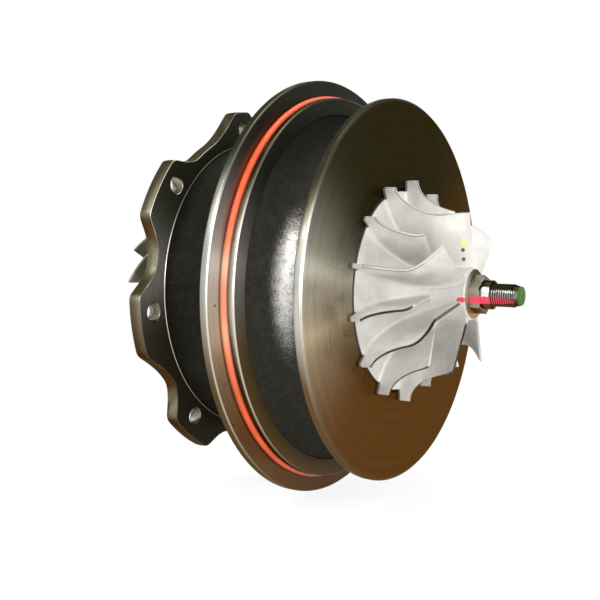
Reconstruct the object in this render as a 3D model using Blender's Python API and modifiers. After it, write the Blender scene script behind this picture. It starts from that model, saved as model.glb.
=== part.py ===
# Turbocharger cartridge: bearing housing, rotor, bearings, seals and compressor backplate.
# Metres, +Z up. +X runs along the shaft towards the compressor nut.
# The origin is on the shaft axis, in the plane that locates the compressor cover.

import math

import bmesh
import bpy
from mathutils import Matrix, Vector

MM = 0.001
DEG = math.pi / 180.0
HALF_TURN = math.pi
FULL_TURN = 2.0 * math.pi
SHARP_ANGLE = 35.0 * DEG

# Clearances
SEAT_GAP = 0.3 * MM
RUNNING_GAP = 0.15 * MM
RING_SIDE_GAP = 0.3 * MM
WHEEL_GAP = 0.6 * MM
BORE_GAP = 0.3 * MM
CUTTER_OVERRUN = 8.0 * MM

# Facets round each size of turned piece
LARGE_STEPS = 32
MEDIUM_STEPS = 28
SMALL_STEPS = 24
HOLE_STEPS = 12
SCREW_STEPS = 8
LARGE_CORD_SIDES = 6
SMALL_CORD_SIDES = 5

# Cover flange, O-ring and spigot of the bearing housing
COVER_FACE_WIDTH = 10.45 * MM
COVER_FACE_RELIEF = 0.3 * MM
COVER_FLANGE_THICKNESS = 4.6 * MM
COVER_FLANGE_CHAMFER = 0.75 * MM
SPIGOT_WALL = 9.7 * MM
SPIGOT_LENGTH = 8.4 * MM
SPIGOT_CHAMFER = 0.8 * MM
COVER_O_RING_CORD = 4.8 * MM
COVER_O_RING_STRETCH = 2.3 * MM

# Housing drum and the lug flange that bolts to the turbine housing
DRUM_RADIUS = 86.6 * MM
DRUM_FILLET = 13.0 * MM
LUG_FACE_STATION = -57.5 * MM
LUG_FLANGE_THICKNESS = 8.0 * MM
LUG_FACE_STEP_RADIUS = 87.3 * MM
LUG_FACE_STEP_DEPTH = 0.8 * MM
LUG_COUNT = 8
LUG_RADIUS = 107.0 * MM
LUG_VALLEY_RADIUS = 93.8 * MM
LUG_RISE = 10.5 * DEG
# Four lugs in turn, each from its bolt hole: start and end of its crest and the run of its far flank
LUG_SHAPES = (
    (-5.7 * DEG, 12.8 * DEG, 16.0 * DEG),
    (-7.2 * DEG, 11.8 * DEG, 10.0 * DEG),
    (-3.9 * DEG, 4.1 * DEG, 17.0 * DEG),
    (-5.2 * DEG, 15.3 * DEG, 11.0 * DEG),
)
LUG_FLANK_SHARES = (0.2, 0.5, 1.0)
LUG_CREST_SHARES = (0.0, 0.33, 0.67, 1.0)
LUG_EDGE_CHAMFER = 0.5 * MM
LUG_HOLE_CIRCLE_RADIUS = 96.0 * MM
LUG_HOLE_RADIUS = 5.4 * MM
LUG_HOLE_ANGLE = 10.2 * DEG
TURBINE_REGISTER_RADIUS = 80.0 * MM
TURBINE_REGISTER_LENGTH = 4.0 * MM

# Oil inlet on top, oil drain below
OIL_PORT_STATION = -31.0 * MM
INLET_PAD_HEIGHT = 94.0 * MM
INLET_PAD_LENGTH = 28.0 * MM
INLET_PAD_WIDTH = 50.0 * MM
INLET_PORT_RADIUS = 5.2 * MM
INLET_PORT_DEPTH = 24.0 * MM
INLET_BOLT_SPREAD = 17.0 * MM
INLET_BOLT_RADIUS = 3.4 * MM
GALLERY_RADIUS = 3.0 * MM
FEED_RADIUS = 1.6 * MM
DRAIN_PAD_HEIGHT = 92.0 * MM
DRAIN_PAD_LENGTH = 30.0 * MM
DRAIN_PAD_WIDTH = 62.0 * MM
DRAIN_PORT_RADIUS = 11.0 * MM
DRAIN_BOLT_SPREAD = 23.0 * MM
DRAIN_BOLT_RADIUS = 4.2 * MM
PAD_BOLT_DEPTH = 16.0 * MM
PAD_ROOT_DEPTH = 30.0 * MM
PAD_CORNER = 8.0 * MM

# Oil cavity round the bearing sleeve
SLEEVE_RADIUS = 25.0 * MM
CAVITY_RADIUS = 72.0 * MM
CAVITY_FRONT_WALL = 9.0 * MM
CAVITY_BACK_STATION = -50.0 * MM
GALLERY_RIB_WIDTH = 22.0 * MM
SLEEVE_DRAIN_RADIUS = 6.0 * MM
SLINGER_RADIUS = 21.0 * MM
SLINGER_LENGTH = 3.5 * MM
SLINGER_DRAIN_RADIUS = 3.0 * MM

# Floating journal bearings
JOURNAL_RADIUS = 10.0 * MM
BEARING_WALL = 4.9 * MM
BEARING_LENGTH = 12.0 * MM
COMPRESSOR_BEARING_STATION = -9.0 * MM
TURBINE_BEARING_STATION = -43.0 * MM
BEARING_SHOULDER = 1.5 * MM
BEARING_OIL_HOLES = 3
BEARING_OIL_HOLE_RADIUS = 1.3 * MM
CIRCLIP_THICKNESS = 1.2 * MM
CIRCLIP_DEPTH = 1.2 * MM
CIRCLIP_WIDTH = 2.6 * MM
CIRCLIP_MOUTH = 3.0 * MM

# Thrust bearing, its collar, the oil flinger and the baffle
THRUST_SEAT_STATION = 6.0 * MM
THRUST_BEARING_RADIUS = 33.7 * MM
THRUST_BEARING_THICKNESS = 5.7 * MM
THRUST_DRAIN_FLAT = 25.0 * MM
THRUST_GROOVES = 4
THRUST_GROOVE_DEPTH = 0.8 * MM
THRUST_GROOVE_WIDTH = 2.6 * MM
COLLAR_FLANGE_RADIUS = 20.0 * MM
COLLAR_FLANGE_THICKNESS = 3.8 * MM
COLLAR_SLEEVE_RADIUS = 11.1 * MM
COLLAR_POCKET_GAP = 2.0 * MM
FLINGER_FLANGE_THICKNESS = 3.2 * MM
FLINGER_LAND_RADIUS = 13.8 * MM
BAFFLE_THICKNESS = 1.0 * MM
BAFFLE_DISH = 4.3 * MM
BAFFLE_DISH_RADIUS = 22.5 * MM
THRUST_SCREWS = 3
THRUST_SCREW_CIRCLE_RADIUS = 28.4 * MM
THRUST_SCREW_RADIUS = 2.2 * MM
THRUST_SCREW_HEAD_RADIUS = 3.8 * MM
THRUST_SCREW_HEAD_HEIGHT = 2.6 * MM
THRUST_SCREW_REACH = 8.5 * MM
THRUST_DRAIN_CIRCLE_RADIUS = 29.9 * MM
THRUST_DRAIN_RADIUS = 3.6 * MM

# Compressor backplate: bell, diffuser disc and web
DISC_STATION = 47.2 * MM
DISC_RADIUS = 108.8 * MM
DISC_CHAMFER = 1.3 * MM
DISC_RIM_THICKNESS = 4.6 * MM
NECK_RADIUS = 84.0 * MM
BELL_FOOT_RADIUS = 101.3 * MM
BELL_FOOT_DEPTH = 5.0 * MM
BELL_WALL = 7.5 * MM
BELL_FLARE_LENGTH = 18.0 * MM
DISC_UNDERSIDE_RISE = 7.5 * MM
DISC_UNDERSIDE_TAPER = 1.5 * MM
WEB_DEPTH = 23.2 * MM
WEB_SEAT_RADIUS = 61.5 * MM
WEB_CEILING = 11.0 * MM
BACKPLATE_O_RING_CORD = 2.0 * MM
O_RING_LIP = 1.1 * MM
BACKPLATE_SCREWS = 6
BACKPLATE_SCREW_CIRCLE_RADIUS = 47.0 * MM
BACKPLATE_SCREW_RADIUS = 4.0 * MM
BACKPLATE_SCREW_HEAD_RADIUS = 6.5 * MM
BACKPLATE_SCREW_HEAD_HEIGHT = 8.0 * MM
BACKPLATE_SCREW_SUNK = 0.8 * MM
BACKPLATE_SCREW_REACH = 16.0 * MM

# Seal plate in the middle of the web
SEAL_PLATE_RADIUS = 33.2 * MM
SEAL_PLATE_THICKNESS = 8.0 * MM
SEAL_PLATE_SHOULDER = 2.0 * MM
SEAL_PLATE_SHOULDER_WIDTH = 4.0 * MM
SEAL_PLATE_O_RING_CORD = 2.4 * MM
SEAL_BORE_RADIUS = 14.5 * MM
COMPRESSOR_RING_WIDTH = 1.8 * MM
COMPRESSOR_RING_WALL = 1.9 * MM

# Turbine-side seal and heat shield
TURBINE_SEAL_BORE_RADIUS = 17.5 * MM
TURBINE_SEAL_LENGTH = 14.0 * MM
TURBINE_LAND_RADIUS = 16.8 * MM
TURBINE_RINGS = 2
TURBINE_RING_PITCH = 5.0 * MM
TURBINE_RING_WIDTH = 1.9 * MM
TURBINE_RING_WALL = 2.4 * MM
TURBINE_RING_INSET = 2.2 * MM
RING_MOUTH = 0.8 * MM
HEAT_SHIELD_RADIUS = 76.0 * MM
HEAT_SHIELD_THICKNESS = 1.4 * MM
HEAT_SHIELD_DISH = 3.5 * MM
HEAT_SHIELD_DISH_RADIUS = 62.0 * MM
HEAT_SHIELD_BORE_RADIUS = 21.0 * MM

# Shaft
STUB_RADIUS = 6.35 * MM
SHAFT_END_STATION = 118.6 * MM
SHAFT_END_TAPER = 3.2 * MM
SHAFT_END_RADIUS = 5.1 * MM
SHAFT_WAIST_RADIUS = 8.8 * MM
BEARING_OVERHANG = 1.2 * MM

# Compressor wheel
WHEEL_TIP_RADIUS = 63.0 * MM
WHEEL_DISC_RADIUS = 57.0 * MM
WHEEL_RIM_THICKNESS = 3.0 * MM
WHEEL_RECESS_GAP = 1.5 * MM
WHEEL_EYE_RADIUS = 44.8 * MM
WHEEL_EYE_HEIGHT = 40.5 * MM
WHEEL_OUTLET_WIDTH = 7.5 * MM
WHEEL_TIP_CLEARANCE = 0.5 * MM
WHEEL_HUB_RADIUS = 14.3 * MM
WHEEL_HUB_HEIGHT = 43.0 * MM
WHEEL_NOSE_HEIGHT = 44.1 * MM
WHEEL_NOSE_CHAMFER = 0.8 * MM
WHEEL_BACK_DEPTH = 12.2 * MM
WHEEL_BACK_RADIUS = 20.0 * MM
BLADE_PAIRS = 7
FULL_BLADE_ANGLE = 117.0 * DEG
INDUCER_WRAP = 19.0 * DEG
INDUCER_SHARE = 0.35
OUTLET_SWEEP = 3.5 * DEG
SPLITTER_START = 0.226
BLADE_ROOT_THICKNESS = 3.0 * MM
BLADE_TIP_THICKNESS = 1.3 * MM
BLADE_SINK = 1.2 * MM
HUB_SEGMENTS = 5
FULL_BLADE_SECTIONS = 5
SPLITTER_SECTIONS = 3
TURBINE_BLADE_SECTIONS = 3
KNEE = 0.01
RIM_SHARE = 0.84
RIM_REACH = 0.97

# Turbine wheel
TURBINE_TIP_RADIUS = 57.5 * MM
TURBINE_DISC_RADIUS = 50.0 * MM
TURBINE_DISC_THICKNESS = 3.0 * MM
TURBINE_INLET_WIDTH = 16.0 * MM
TURBINE_OUTLET_RADIUS = 46.0 * MM
TURBINE_BLADE_LENGTH = 46.5 * MM
TURBINE_HUB_RADIUS = 15.0 * MM
TURBINE_NOSE_LENGTH = 7.0 * MM
TURBINE_NOSE_RADIUS = 9.0 * MM
TURBINE_BLADES = 14
TURBINE_BLADE_ANGLE = 156.7 * DEG
TURBINE_WRAP = 34.0 * DEG
TURBINE_BLADE_THICKNESS = 1.6 * MM
TURBINE_ROOT_THICKNESS = 3.0 * MM
TURBINE_NOSE_TAPER = 1.5 * MM
TURBINE_BEND_SHARE = 0.3
SCALLOP_SHARE = 0.12

# Compressor nut
NUT_ACROSS_FLATS = 19.0 * MM
NUT_HEX_HEIGHT = 6.3 * MM
NUT_COLLAR_HEIGHT = 4.7 * MM
NUT_COLLAR_RADIUS = 8.0 * MM
NUT_CHAMFER = 0.9 * MM
NUT_ANGLE = 12.0 * DEG

# Stations and radii that follow from the sizes above
LUG_BACK_STATION = LUG_FACE_STATION - LUG_FLANGE_THICKNESS
TURBINE_END_STATION = LUG_BACK_STATION - TURBINE_REGISTER_LENGTH
RECESS_FLOOR = SPIGOT_LENGTH - BELL_FOOT_DEPTH
RECESS_RADIUS = BELL_FOOT_RADIUS + SEAT_GAP
SPIGOT_RADIUS = RECESS_RADIUS + SPIGOT_WALL
COVER_FLANGE_RADIUS = SPIGOT_RADIUS + COVER_FACE_WIDTH
COVER_GROOVE_RADIUS = SPIGOT_RADIUS - COVER_O_RING_CORD + COVER_O_RING_STRETCH - SEAT_GAP
COVER_GROOVE_WIDTH = COVER_O_RING_CORD + 2.0 * SEAT_GAP
COVER_FACE_RADIUS = COVER_GROOVE_RADIUS + COVER_GROOVE_WIDTH
WEB_SEAT_STATION = DISC_STATION - WEB_DEPTH
BEARING_BORE_RADIUS = JOURNAL_RADIUS + RUNNING_GAP
BEARING_RADIUS = BEARING_BORE_RADIUS + BEARING_WALL
SLEEVE_BORE_RADIUS = BEARING_RADIUS + RUNNING_GAP
SHOULDER_BORE_RADIUS = SLEEVE_BORE_RADIUS - BEARING_SHOULDER
CIRCLIP_SPAN = CIRCLIP_THICKNESS + 2.0 * RING_SIDE_GAP
THRUST_CAVITY_RADIUS = THRUST_BEARING_RADIUS + SEAT_GAP
THRUST_FACE_STATION = THRUST_SEAT_STATION + SEAT_GAP + THRUST_BEARING_THICKNESS
COLLAR_POCKET_RADIUS = COLLAR_FLANGE_RADIUS + COLLAR_POCKET_GAP
COLLAR_FRONT_STATION = THRUST_SEAT_STATION
COLLAR_BACK_STATION = COLLAR_FRONT_STATION - COLLAR_FLANGE_THICKNESS
COLLAR_END_STATION = THRUST_FACE_STATION + SEAT_GAP
FLINGER_START_STATION = COLLAR_END_STATION + SEAT_GAP
FLINGER_FLANGE_END = FLINGER_START_STATION + FLINGER_FLANGE_THICKNESS
STUB_BORE_RADIUS = STUB_RADIUS + BORE_GAP
WHEEL_BACK_STATION = DISC_STATION - WHEEL_BACK_DEPTH
FLINGER_END_STATION = WHEEL_BACK_STATION - SEAT_GAP
SEAL_PLATE_START = WEB_SEAT_STATION + SEAT_GAP + SEAL_PLATE_SHOULDER + SEAT_GAP
SEAL_PLATE_END = SEAL_PLATE_START + SEAL_PLATE_THICKNESS
WEB_BORE_RADIUS = SEAL_PLATE_RADIUS + SEAT_GAP
NOSE_STATION = DISC_STATION + WHEEL_NOSE_HEIGHT
NUT_STATION = NOSE_STATION + SEAT_GAP
SHIELD_STATION = TURBINE_END_STATION - SEAT_GAP
TURBINE_BACK_STATION = SHIELD_STATION - HEAT_SHIELD_THICKNESS - HEAT_SHIELD_DISH - WHEEL_GAP
WELD_STATION = SHIELD_STATION - HEAT_SHIELD_THICKNESS
CAVITY_FRONT_STATION = RECESS_FLOOR - CAVITY_FRONT_WALL
COMPRESSOR_CLIP_START = COMPRESSOR_BEARING_STATION + BEARING_LENGTH / 2.0
TURBINE_CLIP_START = TURBINE_BEARING_STATION - BEARING_LENGTH / 2.0 - CIRCLIP_SPAN


def clear_scene():
    for obj in list(bpy.data.objects):
        bpy.data.objects.remove(obj, do_unlink=True)


def make_collection(name, is_helper):
    collection = bpy.data.collections.new(name)
    collection.hide_render = is_helper
    bpy.context.scene.collection.children.link(collection)
    return collection


def make_material(name, colour, roughness, metallic):
    material = bpy.data.materials.new(name)
    material.use_nodes = True
    shader = material.node_tree.nodes["Principled BSDF"]
    shader.inputs["Base Color"].default_value = (*colour, 1.0)
    shader.inputs["Roughness"].default_value = roughness
    shader.inputs["Metallic"].default_value = metallic
    material.diffuse_color = (*colour, 1.0)
    return material


clear_scene()
PARTS = make_collection("turbo_cartridge", False)
CUTTERS = make_collection("cutters", True)


# Building blocks


def new_object(name, mesh, collection=PARTS):
    obj = bpy.data.objects.new(name, mesh)
    collection.objects.link(obj)
    if collection is CUTTERS:
        obj.hide_render = True
        obj.display_type = "WIRE"
    return obj


def object_of(name, bm, collection=PARTS):
    """Make an object from a bmesh, with its faces pointing out."""
    bmesh.ops.recalc_face_normals(bm, faces=bm.faces)
    mesh = bpy.data.meshes.new(name)
    bm.to_mesh(mesh)
    bm.free()
    return new_object(name, mesh, collection)


def settle(obj):
    """Keep the shape that the modifiers give, with its faces pointing out."""
    bpy.context.view_layer.update()
    graph = bpy.context.evaluated_depsgraph_get()
    mesh = bpy.data.meshes.new_from_object(obj.evaluated_get(graph))
    bm = bmesh.new()
    bm.from_mesh(mesh)
    bmesh.ops.recalc_face_normals(bm, faces=bm.faces)
    bm.to_mesh(mesh)
    bm.free()
    obj.modifiers.clear()
    obj.data = mesh
    return obj


def turned(name, profile, steps, collection=PARTS):
    """Turn a profile of (station, radius) points about the X axis."""
    bm = bmesh.new()
    points = [bm.verts.new((station, radius, 0.0)) for station, radius in profile]
    for first, second in zip(points, points[1:]):
        bm.edges.new((first, second))
    if profile[0][1] > 0.0:
        bm.edges.new((points[-1], points[0]))
    mesh = bpy.data.meshes.new(name)
    bm.to_mesh(mesh)
    bm.free()
    obj = new_object(name, mesh, collection)
    screw = obj.modifiers.new("turn", "SCREW")
    screw.axis = "X"
    screw.angle = FULL_TURN
    screw.steps = steps
    screw.render_steps = steps
    screw.use_merge_vertices = True
    screw.merge_threshold = 0.00001
    return settle(obj)


def arc(station, radius, length, height, start, end, count):
    """Points of an elliptic arc in the profile plane, with 0 along +X."""
    angles = [start + (end - start) * index / count for index in range(count + 1)]
    return [(station + length * math.cos(a), radius + height * math.sin(a)) for a in angles]


def round_at(station, radius, angle):
    return Vector((station, radius * math.cos(angle), radius * math.sin(angle)))


def add_rod(bm, start, end, radius, steps=HOLE_STEPS):
    """Add a capped cylinder from one point to another."""
    along = end - start
    turn = along.to_track_quat("Z", "Y").to_matrix().to_4x4()
    place = Matrix.Translation((start + end) / 2.0) @ turn
    bmesh.ops.create_cone(
        bm, cap_ends=True, segments=steps, radius1=radius, radius2=radius, depth=along.length, matrix=place
    )


def rods(name, places, steps=HOLE_STEPS, collection=CUTTERS):
    """One helper made of separate rods, each given as start, end and radius."""
    bm = bmesh.new()
    for start, end, radius in places:
        add_rod(bm, start, end, radius, steps)
    return object_of(name, bm, collection)


def box(name, low, high, corner=0.0, collection=CUTTERS):
    """A box between two corners, with its upright edges rounded where a corner radius is given."""
    bm = bmesh.new()
    size = Vector(high) - Vector(low)
    middle = (Vector(high) + Vector(low)) / 2.0
    bmesh.ops.create_cube(bm, matrix=Matrix.Translation(middle) @ Matrix.Diagonal((*size, 1.0)))
    if corner > 0.0:
        upright = [edge for edge in bm.edges if abs((edge.verts[0].co - edge.verts[1].co).z) > size.z / 2.0]
        bmesh.ops.bevel(bm, geom=upright, offset=corner, segments=3, profile=0.5, affect="EDGES")
    return object_of(name, bm, collection)


def combine(target, tool, operation):
    modifier = target.modifiers.new(tool.name, "BOOLEAN")
    modifier.object = tool
    modifier.operation = operation
    modifier.solver = "EXACT"
    return settle(target)


def cut(target, tool):
    return combine(target, tool, "DIFFERENCE")


def join(target, tool):
    return combine(target, tool, "UNION")


def ring_profile(start, end, inner, outer):
    return [(start, inner), (end, inner), (end, outer), (start, outer)]


def o_ring(name, station, radius, cord, steps, sides):
    """A cord ring whose centre line has the given station and radius."""
    half = cord / 2.0
    profile = arc(station, radius, half, half, 0.0, FULL_TURN, sides)[:-1]
    return turned(name, profile, steps)


def split_ring(name, start, end, inner, outer, mouth, angle):
    """A square-section ring that is open at one angle."""
    ring = turned(name, ring_profile(start, end, inner, outer), SMALL_STEPS)
    half = Vector(((end - start), outer - inner, mouth / 2.0))
    tool = box(name + "_mouth", -half, half)
    middle = round_at((start + end) / 2.0, (inner + outer) / 2.0, angle)
    tool.matrix_world = Matrix.Translation(middle) @ Matrix.Rotation(angle, 4, "X")
    return cut(ring, tool)


def circle_places(start, end, circle_radius, radius, count, first_angle):
    """Rods parallel to the shaft, evenly spaced on a circle."""
    angles = [first_angle + FULL_TURN * index / count for index in range(count)]
    return [(round_at(start, circle_radius, a), round_at(end, circle_radius, a), radius) for a in angles]


# Bearing housing


def housing_profile():
    flange_back = -COVER_FLANGE_THICKNESS
    drum_front = flange_back - DRUM_FILLET
    lug_middle = LUG_FACE_STATION - LUG_FLANGE_THICKNESS / 2.0
    edge = COVER_FLANGE_CHAMFER / 2.0
    front = [
        (WEB_SEAT_STATION, 0.0),
        (WEB_SEAT_STATION, WEB_SEAT_RADIUS),
        (RECESS_FLOOR, WEB_SEAT_RADIUS),
        (RECESS_FLOOR, RECESS_RADIUS),
        (SPIGOT_LENGTH, RECESS_RADIUS),
        (SPIGOT_LENGTH, SPIGOT_RADIUS - SPIGOT_CHAMFER),
        (SPIGOT_LENGTH - SPIGOT_CHAMFER, SPIGOT_RADIUS),
        (COVER_GROOVE_WIDTH, SPIGOT_RADIUS),
        (COVER_GROOVE_WIDTH, COVER_GROOVE_RADIUS),
        (-COVER_FACE_RELIEF, COVER_GROOVE_RADIUS),
        (-COVER_FACE_RELIEF, COVER_FACE_RADIUS),
        (0.0, COVER_FACE_RADIUS),
        (0.0, COVER_FLANGE_RADIUS - COVER_FLANGE_CHAMFER),
        (-COVER_FLANGE_CHAMFER, COVER_FLANGE_RADIUS),
        (flange_back + edge, COVER_FLANGE_RADIUS),
        (flange_back, COVER_FLANGE_RADIUS - edge),
    ]
    centre = DRUM_RADIUS + DRUM_FILLET
    fillet = arc(drum_front, centre, DRUM_FILLET, DRUM_FILLET, 0.0, -HALF_TURN / 2.0, 3)
    back = [
        (LUG_FACE_STATION + LUG_FACE_STEP_DEPTH, DRUM_RADIUS),
        (LUG_FACE_STATION + LUG_FACE_STEP_DEPTH, LUG_FACE_STEP_RADIUS),
        (lug_middle, LUG_FACE_STEP_RADIUS),
        (lug_middle, TURBINE_REGISTER_RADIUS),
        (TURBINE_END_STATION, TURBINE_REGISTER_RADIUS),
        (TURBINE_END_STATION, 0.0),
    ]
    return front + fillet + back


def lug_hole_angle(index):
    return LUG_HOLE_ANGLE + FULL_TURN * index / LUG_COUNT


def lug_radius(angle):
    """Radius of the scalloped flange at an angle round the shaft, where the nearest lug decides."""
    height = 0.0
    for index in range(LUG_COUNT):
        start, end, run = LUG_SHAPES[index % len(LUG_SHAPES)]
        turn = angle - lug_hole_angle(index) - (start + end) / 2.0
        offset = (turn + HALF_TURN) % FULL_TURN - HALF_TURN
        past = abs(offset) - (end - start) / 2.0
        share = 1.0 - past / (LUG_RISE if offset < 0.0 else run)
        share = min(max(share, 0.0), 1.0)
        height = max(height, share * share)
    return LUG_VALLEY_RADIUS + (LUG_RADIUS - LUG_VALLEY_RADIUS) * height


def lug_outline_angles():
    """Angles at which the outline bends, in order round the shaft."""
    angles = []
    for index in range(LUG_COUNT):
        start, end, run = LUG_SHAPES[index % len(LUG_SHAPES)]
        hole = lug_hole_angle(index)
        angles += [hole + start - LUG_RISE * share for share in LUG_FLANK_SHARES]
        angles += [hole + start + (end - start) * share for share in LUG_CREST_SHARES]
        angles += [hole + end + run * share for share in LUG_FLANK_SHARES]
    return sorted(angles)


def lug_plate():
    """The scalloped flange, as a flat outline with chamfered edges."""
    curve = bpy.data.curves.new("lug_plate", "CURVE")
    curve.dimensions = "2D"
    curve.fill_mode = "BOTH"
    curve.extrude = LUG_FLANGE_THICKNESS / 2.0 - LUG_EDGE_CHAMFER
    curve.bevel_depth = LUG_EDGE_CHAMFER
    curve.bevel_resolution = 0
    angles = lug_outline_angles()
    spline = curve.splines.new("POLY")
    spline.use_cyclic_u = True
    spline.points.add(len(angles) - 1)
    for angle, point in zip(angles, spline.points):
        radius = lug_radius(angle) - LUG_EDGE_CHAMFER
        point.co = (radius * math.cos(angle), radius * math.sin(angle), 0.0, 1.0)
    guide = new_object("lug_plate_outline", curve, CUTTERS)
    guide.location.x = LUG_FACE_STATION - LUG_FLANGE_THICKNESS / 2.0
    guide.rotation_euler = (HALF_TURN / 2.0, 0.0, HALF_TURN / 2.0)
    bpy.context.view_layer.update()
    mesh = bpy.data.meshes.new_from_object(guide.evaluated_get(bpy.context.evaluated_depsgraph_get()))
    bm = bmesh.new()
    bm.from_mesh(mesh)
    bmesh.ops.remove_doubles(bm, verts=bm.verts, dist=0.00001)
    bm.transform(guide.matrix_world)
    bpy.data.objects.remove(guide)
    return object_of("lug_plate", bm, CUTTERS)


def oil_pads():
    """The flat-topped bosses of the oil inlet and the oil drain."""
    half_inlet = INLET_PAD_LENGTH / 2.0
    half_drain = DRAIN_PAD_LENGTH / 2.0
    inlet = box(
        "inlet_pad",
        (OIL_PORT_STATION - half_inlet, -INLET_PAD_WIDTH / 2.0, INLET_PAD_HEIGHT - PAD_ROOT_DEPTH),
        (OIL_PORT_STATION + half_inlet, INLET_PAD_WIDTH / 2.0, INLET_PAD_HEIGHT),
        PAD_CORNER,
    )
    drain = box(
        "drain_pad",
        (OIL_PORT_STATION - half_drain, -DRAIN_PAD_WIDTH / 2.0, -DRAIN_PAD_HEIGHT),
        (OIL_PORT_STATION + half_drain, DRAIN_PAD_WIDTH / 2.0, PAD_ROOT_DEPTH - DRAIN_PAD_HEIGHT),
        PAD_CORNER,
    )
    return inlet, drain


def oil_cavity():
    """The space round the bearing sleeve, less the rib that carries the oil gallery."""
    profile = ring_profile(CAVITY_BACK_STATION, CAVITY_FRONT_STATION, SLEEVE_RADIUS, CAVITY_RADIUS)
    cavity = turned("oil_cavity", profile, SMALL_STEPS, CUTTERS)
    half_rib = GALLERY_RIB_WIDTH / 2.0
    rib = box(
        "gallery_rib",
        (CAVITY_BACK_STATION - CUTTER_OVERRUN, -half_rib, 0.0),
        (CAVITY_FRONT_STATION + CUTTER_OVERRUN, half_rib, CAVITY_RADIUS + CUTTER_OVERRUN),
    )
    return cut(cavity, rib)


def circlip_groove(start):
    bottom = SLEEVE_BORE_RADIUS + CIRCLIP_DEPTH
    return [
        (start, SLEEVE_BORE_RADIUS),
        (start, bottom),
        (start + CIRCLIP_SPAN, bottom),
        (start + CIRCLIP_SPAN, SLEEVE_BORE_RADIUS),
    ]


def housing_bore():
    """Everything bored along the shaft, from the turbine seal to the thrust cavity."""
    half_bearing = BEARING_LENGTH / 2.0 + SEAT_GAP
    seal_end = TURBINE_END_STATION + TURBINE_SEAL_LENGTH
    profile = [
        (TURBINE_END_STATION - CUTTER_OVERRUN, 0.0),
        (TURBINE_END_STATION - CUTTER_OVERRUN, TURBINE_SEAL_BORE_RADIUS),
        (seal_end, TURBINE_SEAL_BORE_RADIUS),
        (seal_end, SLINGER_RADIUS),
        (seal_end + SLINGER_LENGTH, SLINGER_RADIUS),
        (seal_end + SLINGER_LENGTH, SLEEVE_BORE_RADIUS),
        *circlip_groove(TURBINE_CLIP_START),
        (TURBINE_BEARING_STATION + half_bearing, SLEEVE_BORE_RADIUS),
        (TURBINE_BEARING_STATION + half_bearing, SHOULDER_BORE_RADIUS),
        (COMPRESSOR_BEARING_STATION - half_bearing, SHOULDER_BORE_RADIUS),
        (COMPRESSOR_BEARING_STATION - half_bearing, SLEEVE_BORE_RADIUS),
        *circlip_groove(COMPRESSOR_CLIP_START),
        (COLLAR_BACK_STATION - RING_SIDE_GAP, SLEEVE_BORE_RADIUS),
        (COLLAR_BACK_STATION - RING_SIDE_GAP, COLLAR_POCKET_RADIUS),
        (THRUST_SEAT_STATION, COLLAR_POCKET_RADIUS),
        (THRUST_SEAT_STATION, THRUST_CAVITY_RADIUS),
        (WEB_SEAT_STATION + CUTTER_OVERRUN, THRUST_CAVITY_RADIUS),
        (WEB_SEAT_STATION + CUTTER_OVERRUN, 0.0),
    ]
    return turned("housing_bore", profile, SMALL_STEPS, CUTTERS)


def port_rods():
    """Oil ports, gallery, feeds and drains, and the tapped holes of the pads."""
    port = OIL_PORT_STATION
    middle = (COMPRESSOR_BEARING_STATION + TURBINE_BEARING_STATION) / 2.0
    above = INLET_PAD_HEIGHT + CUTTER_OVERRUN
    below = -DRAIN_PAD_HEIGHT - CUTTER_OVERRUN
    port_end = INLET_PAD_HEIGHT - INLET_PORT_DEPTH
    sump = -(CAVITY_RADIUS + SLEEVE_RADIUS) / 2.0
    gallery_end = SLEEVE_RADIUS + GALLERY_RADIUS * 2.0
    wide = [
        (Vector((port, 0, above)), Vector((port, 0, port_end)), INLET_PORT_RADIUS),
        (Vector((port, 0, below)), Vector((port, 0, sump)), DRAIN_PORT_RADIUS),
        (Vector((middle, 0, 0)), Vector((middle, 0, sump)), SLEEVE_DRAIN_RADIUS),
    ]
    narrow = [(Vector((port, 0, port_end + GALLERY_RADIUS)), Vector((port, 0, gallery_end)), GALLERY_RADIUS)]
    inlet_tap_end = INLET_PAD_HEIGHT - PAD_BOLT_DEPTH
    drain_tap_end = PAD_BOLT_DEPTH - DRAIN_PAD_HEIGHT
    for side in (-1.0, 1.0):
        y = side * INLET_BOLT_SPREAD
        narrow.append((Vector((port, y, above)), Vector((port, y, inlet_tap_end)), INLET_BOLT_RADIUS))
        y = side * DRAIN_BOLT_SPREAD
        narrow.append((Vector((port, y, below)), Vector((port, y, drain_tap_end)), DRAIN_BOLT_RADIUS))
    feeds = [
        (Vector((port, 0, gallery_end + GALLERY_RADIUS)), Vector((station, 0, JOURNAL_RADIUS)), FEED_RADIUS)
        for station in (COMPRESSOR_BEARING_STATION, TURBINE_BEARING_STATION)
    ]
    return wide, narrow, feeds


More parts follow.
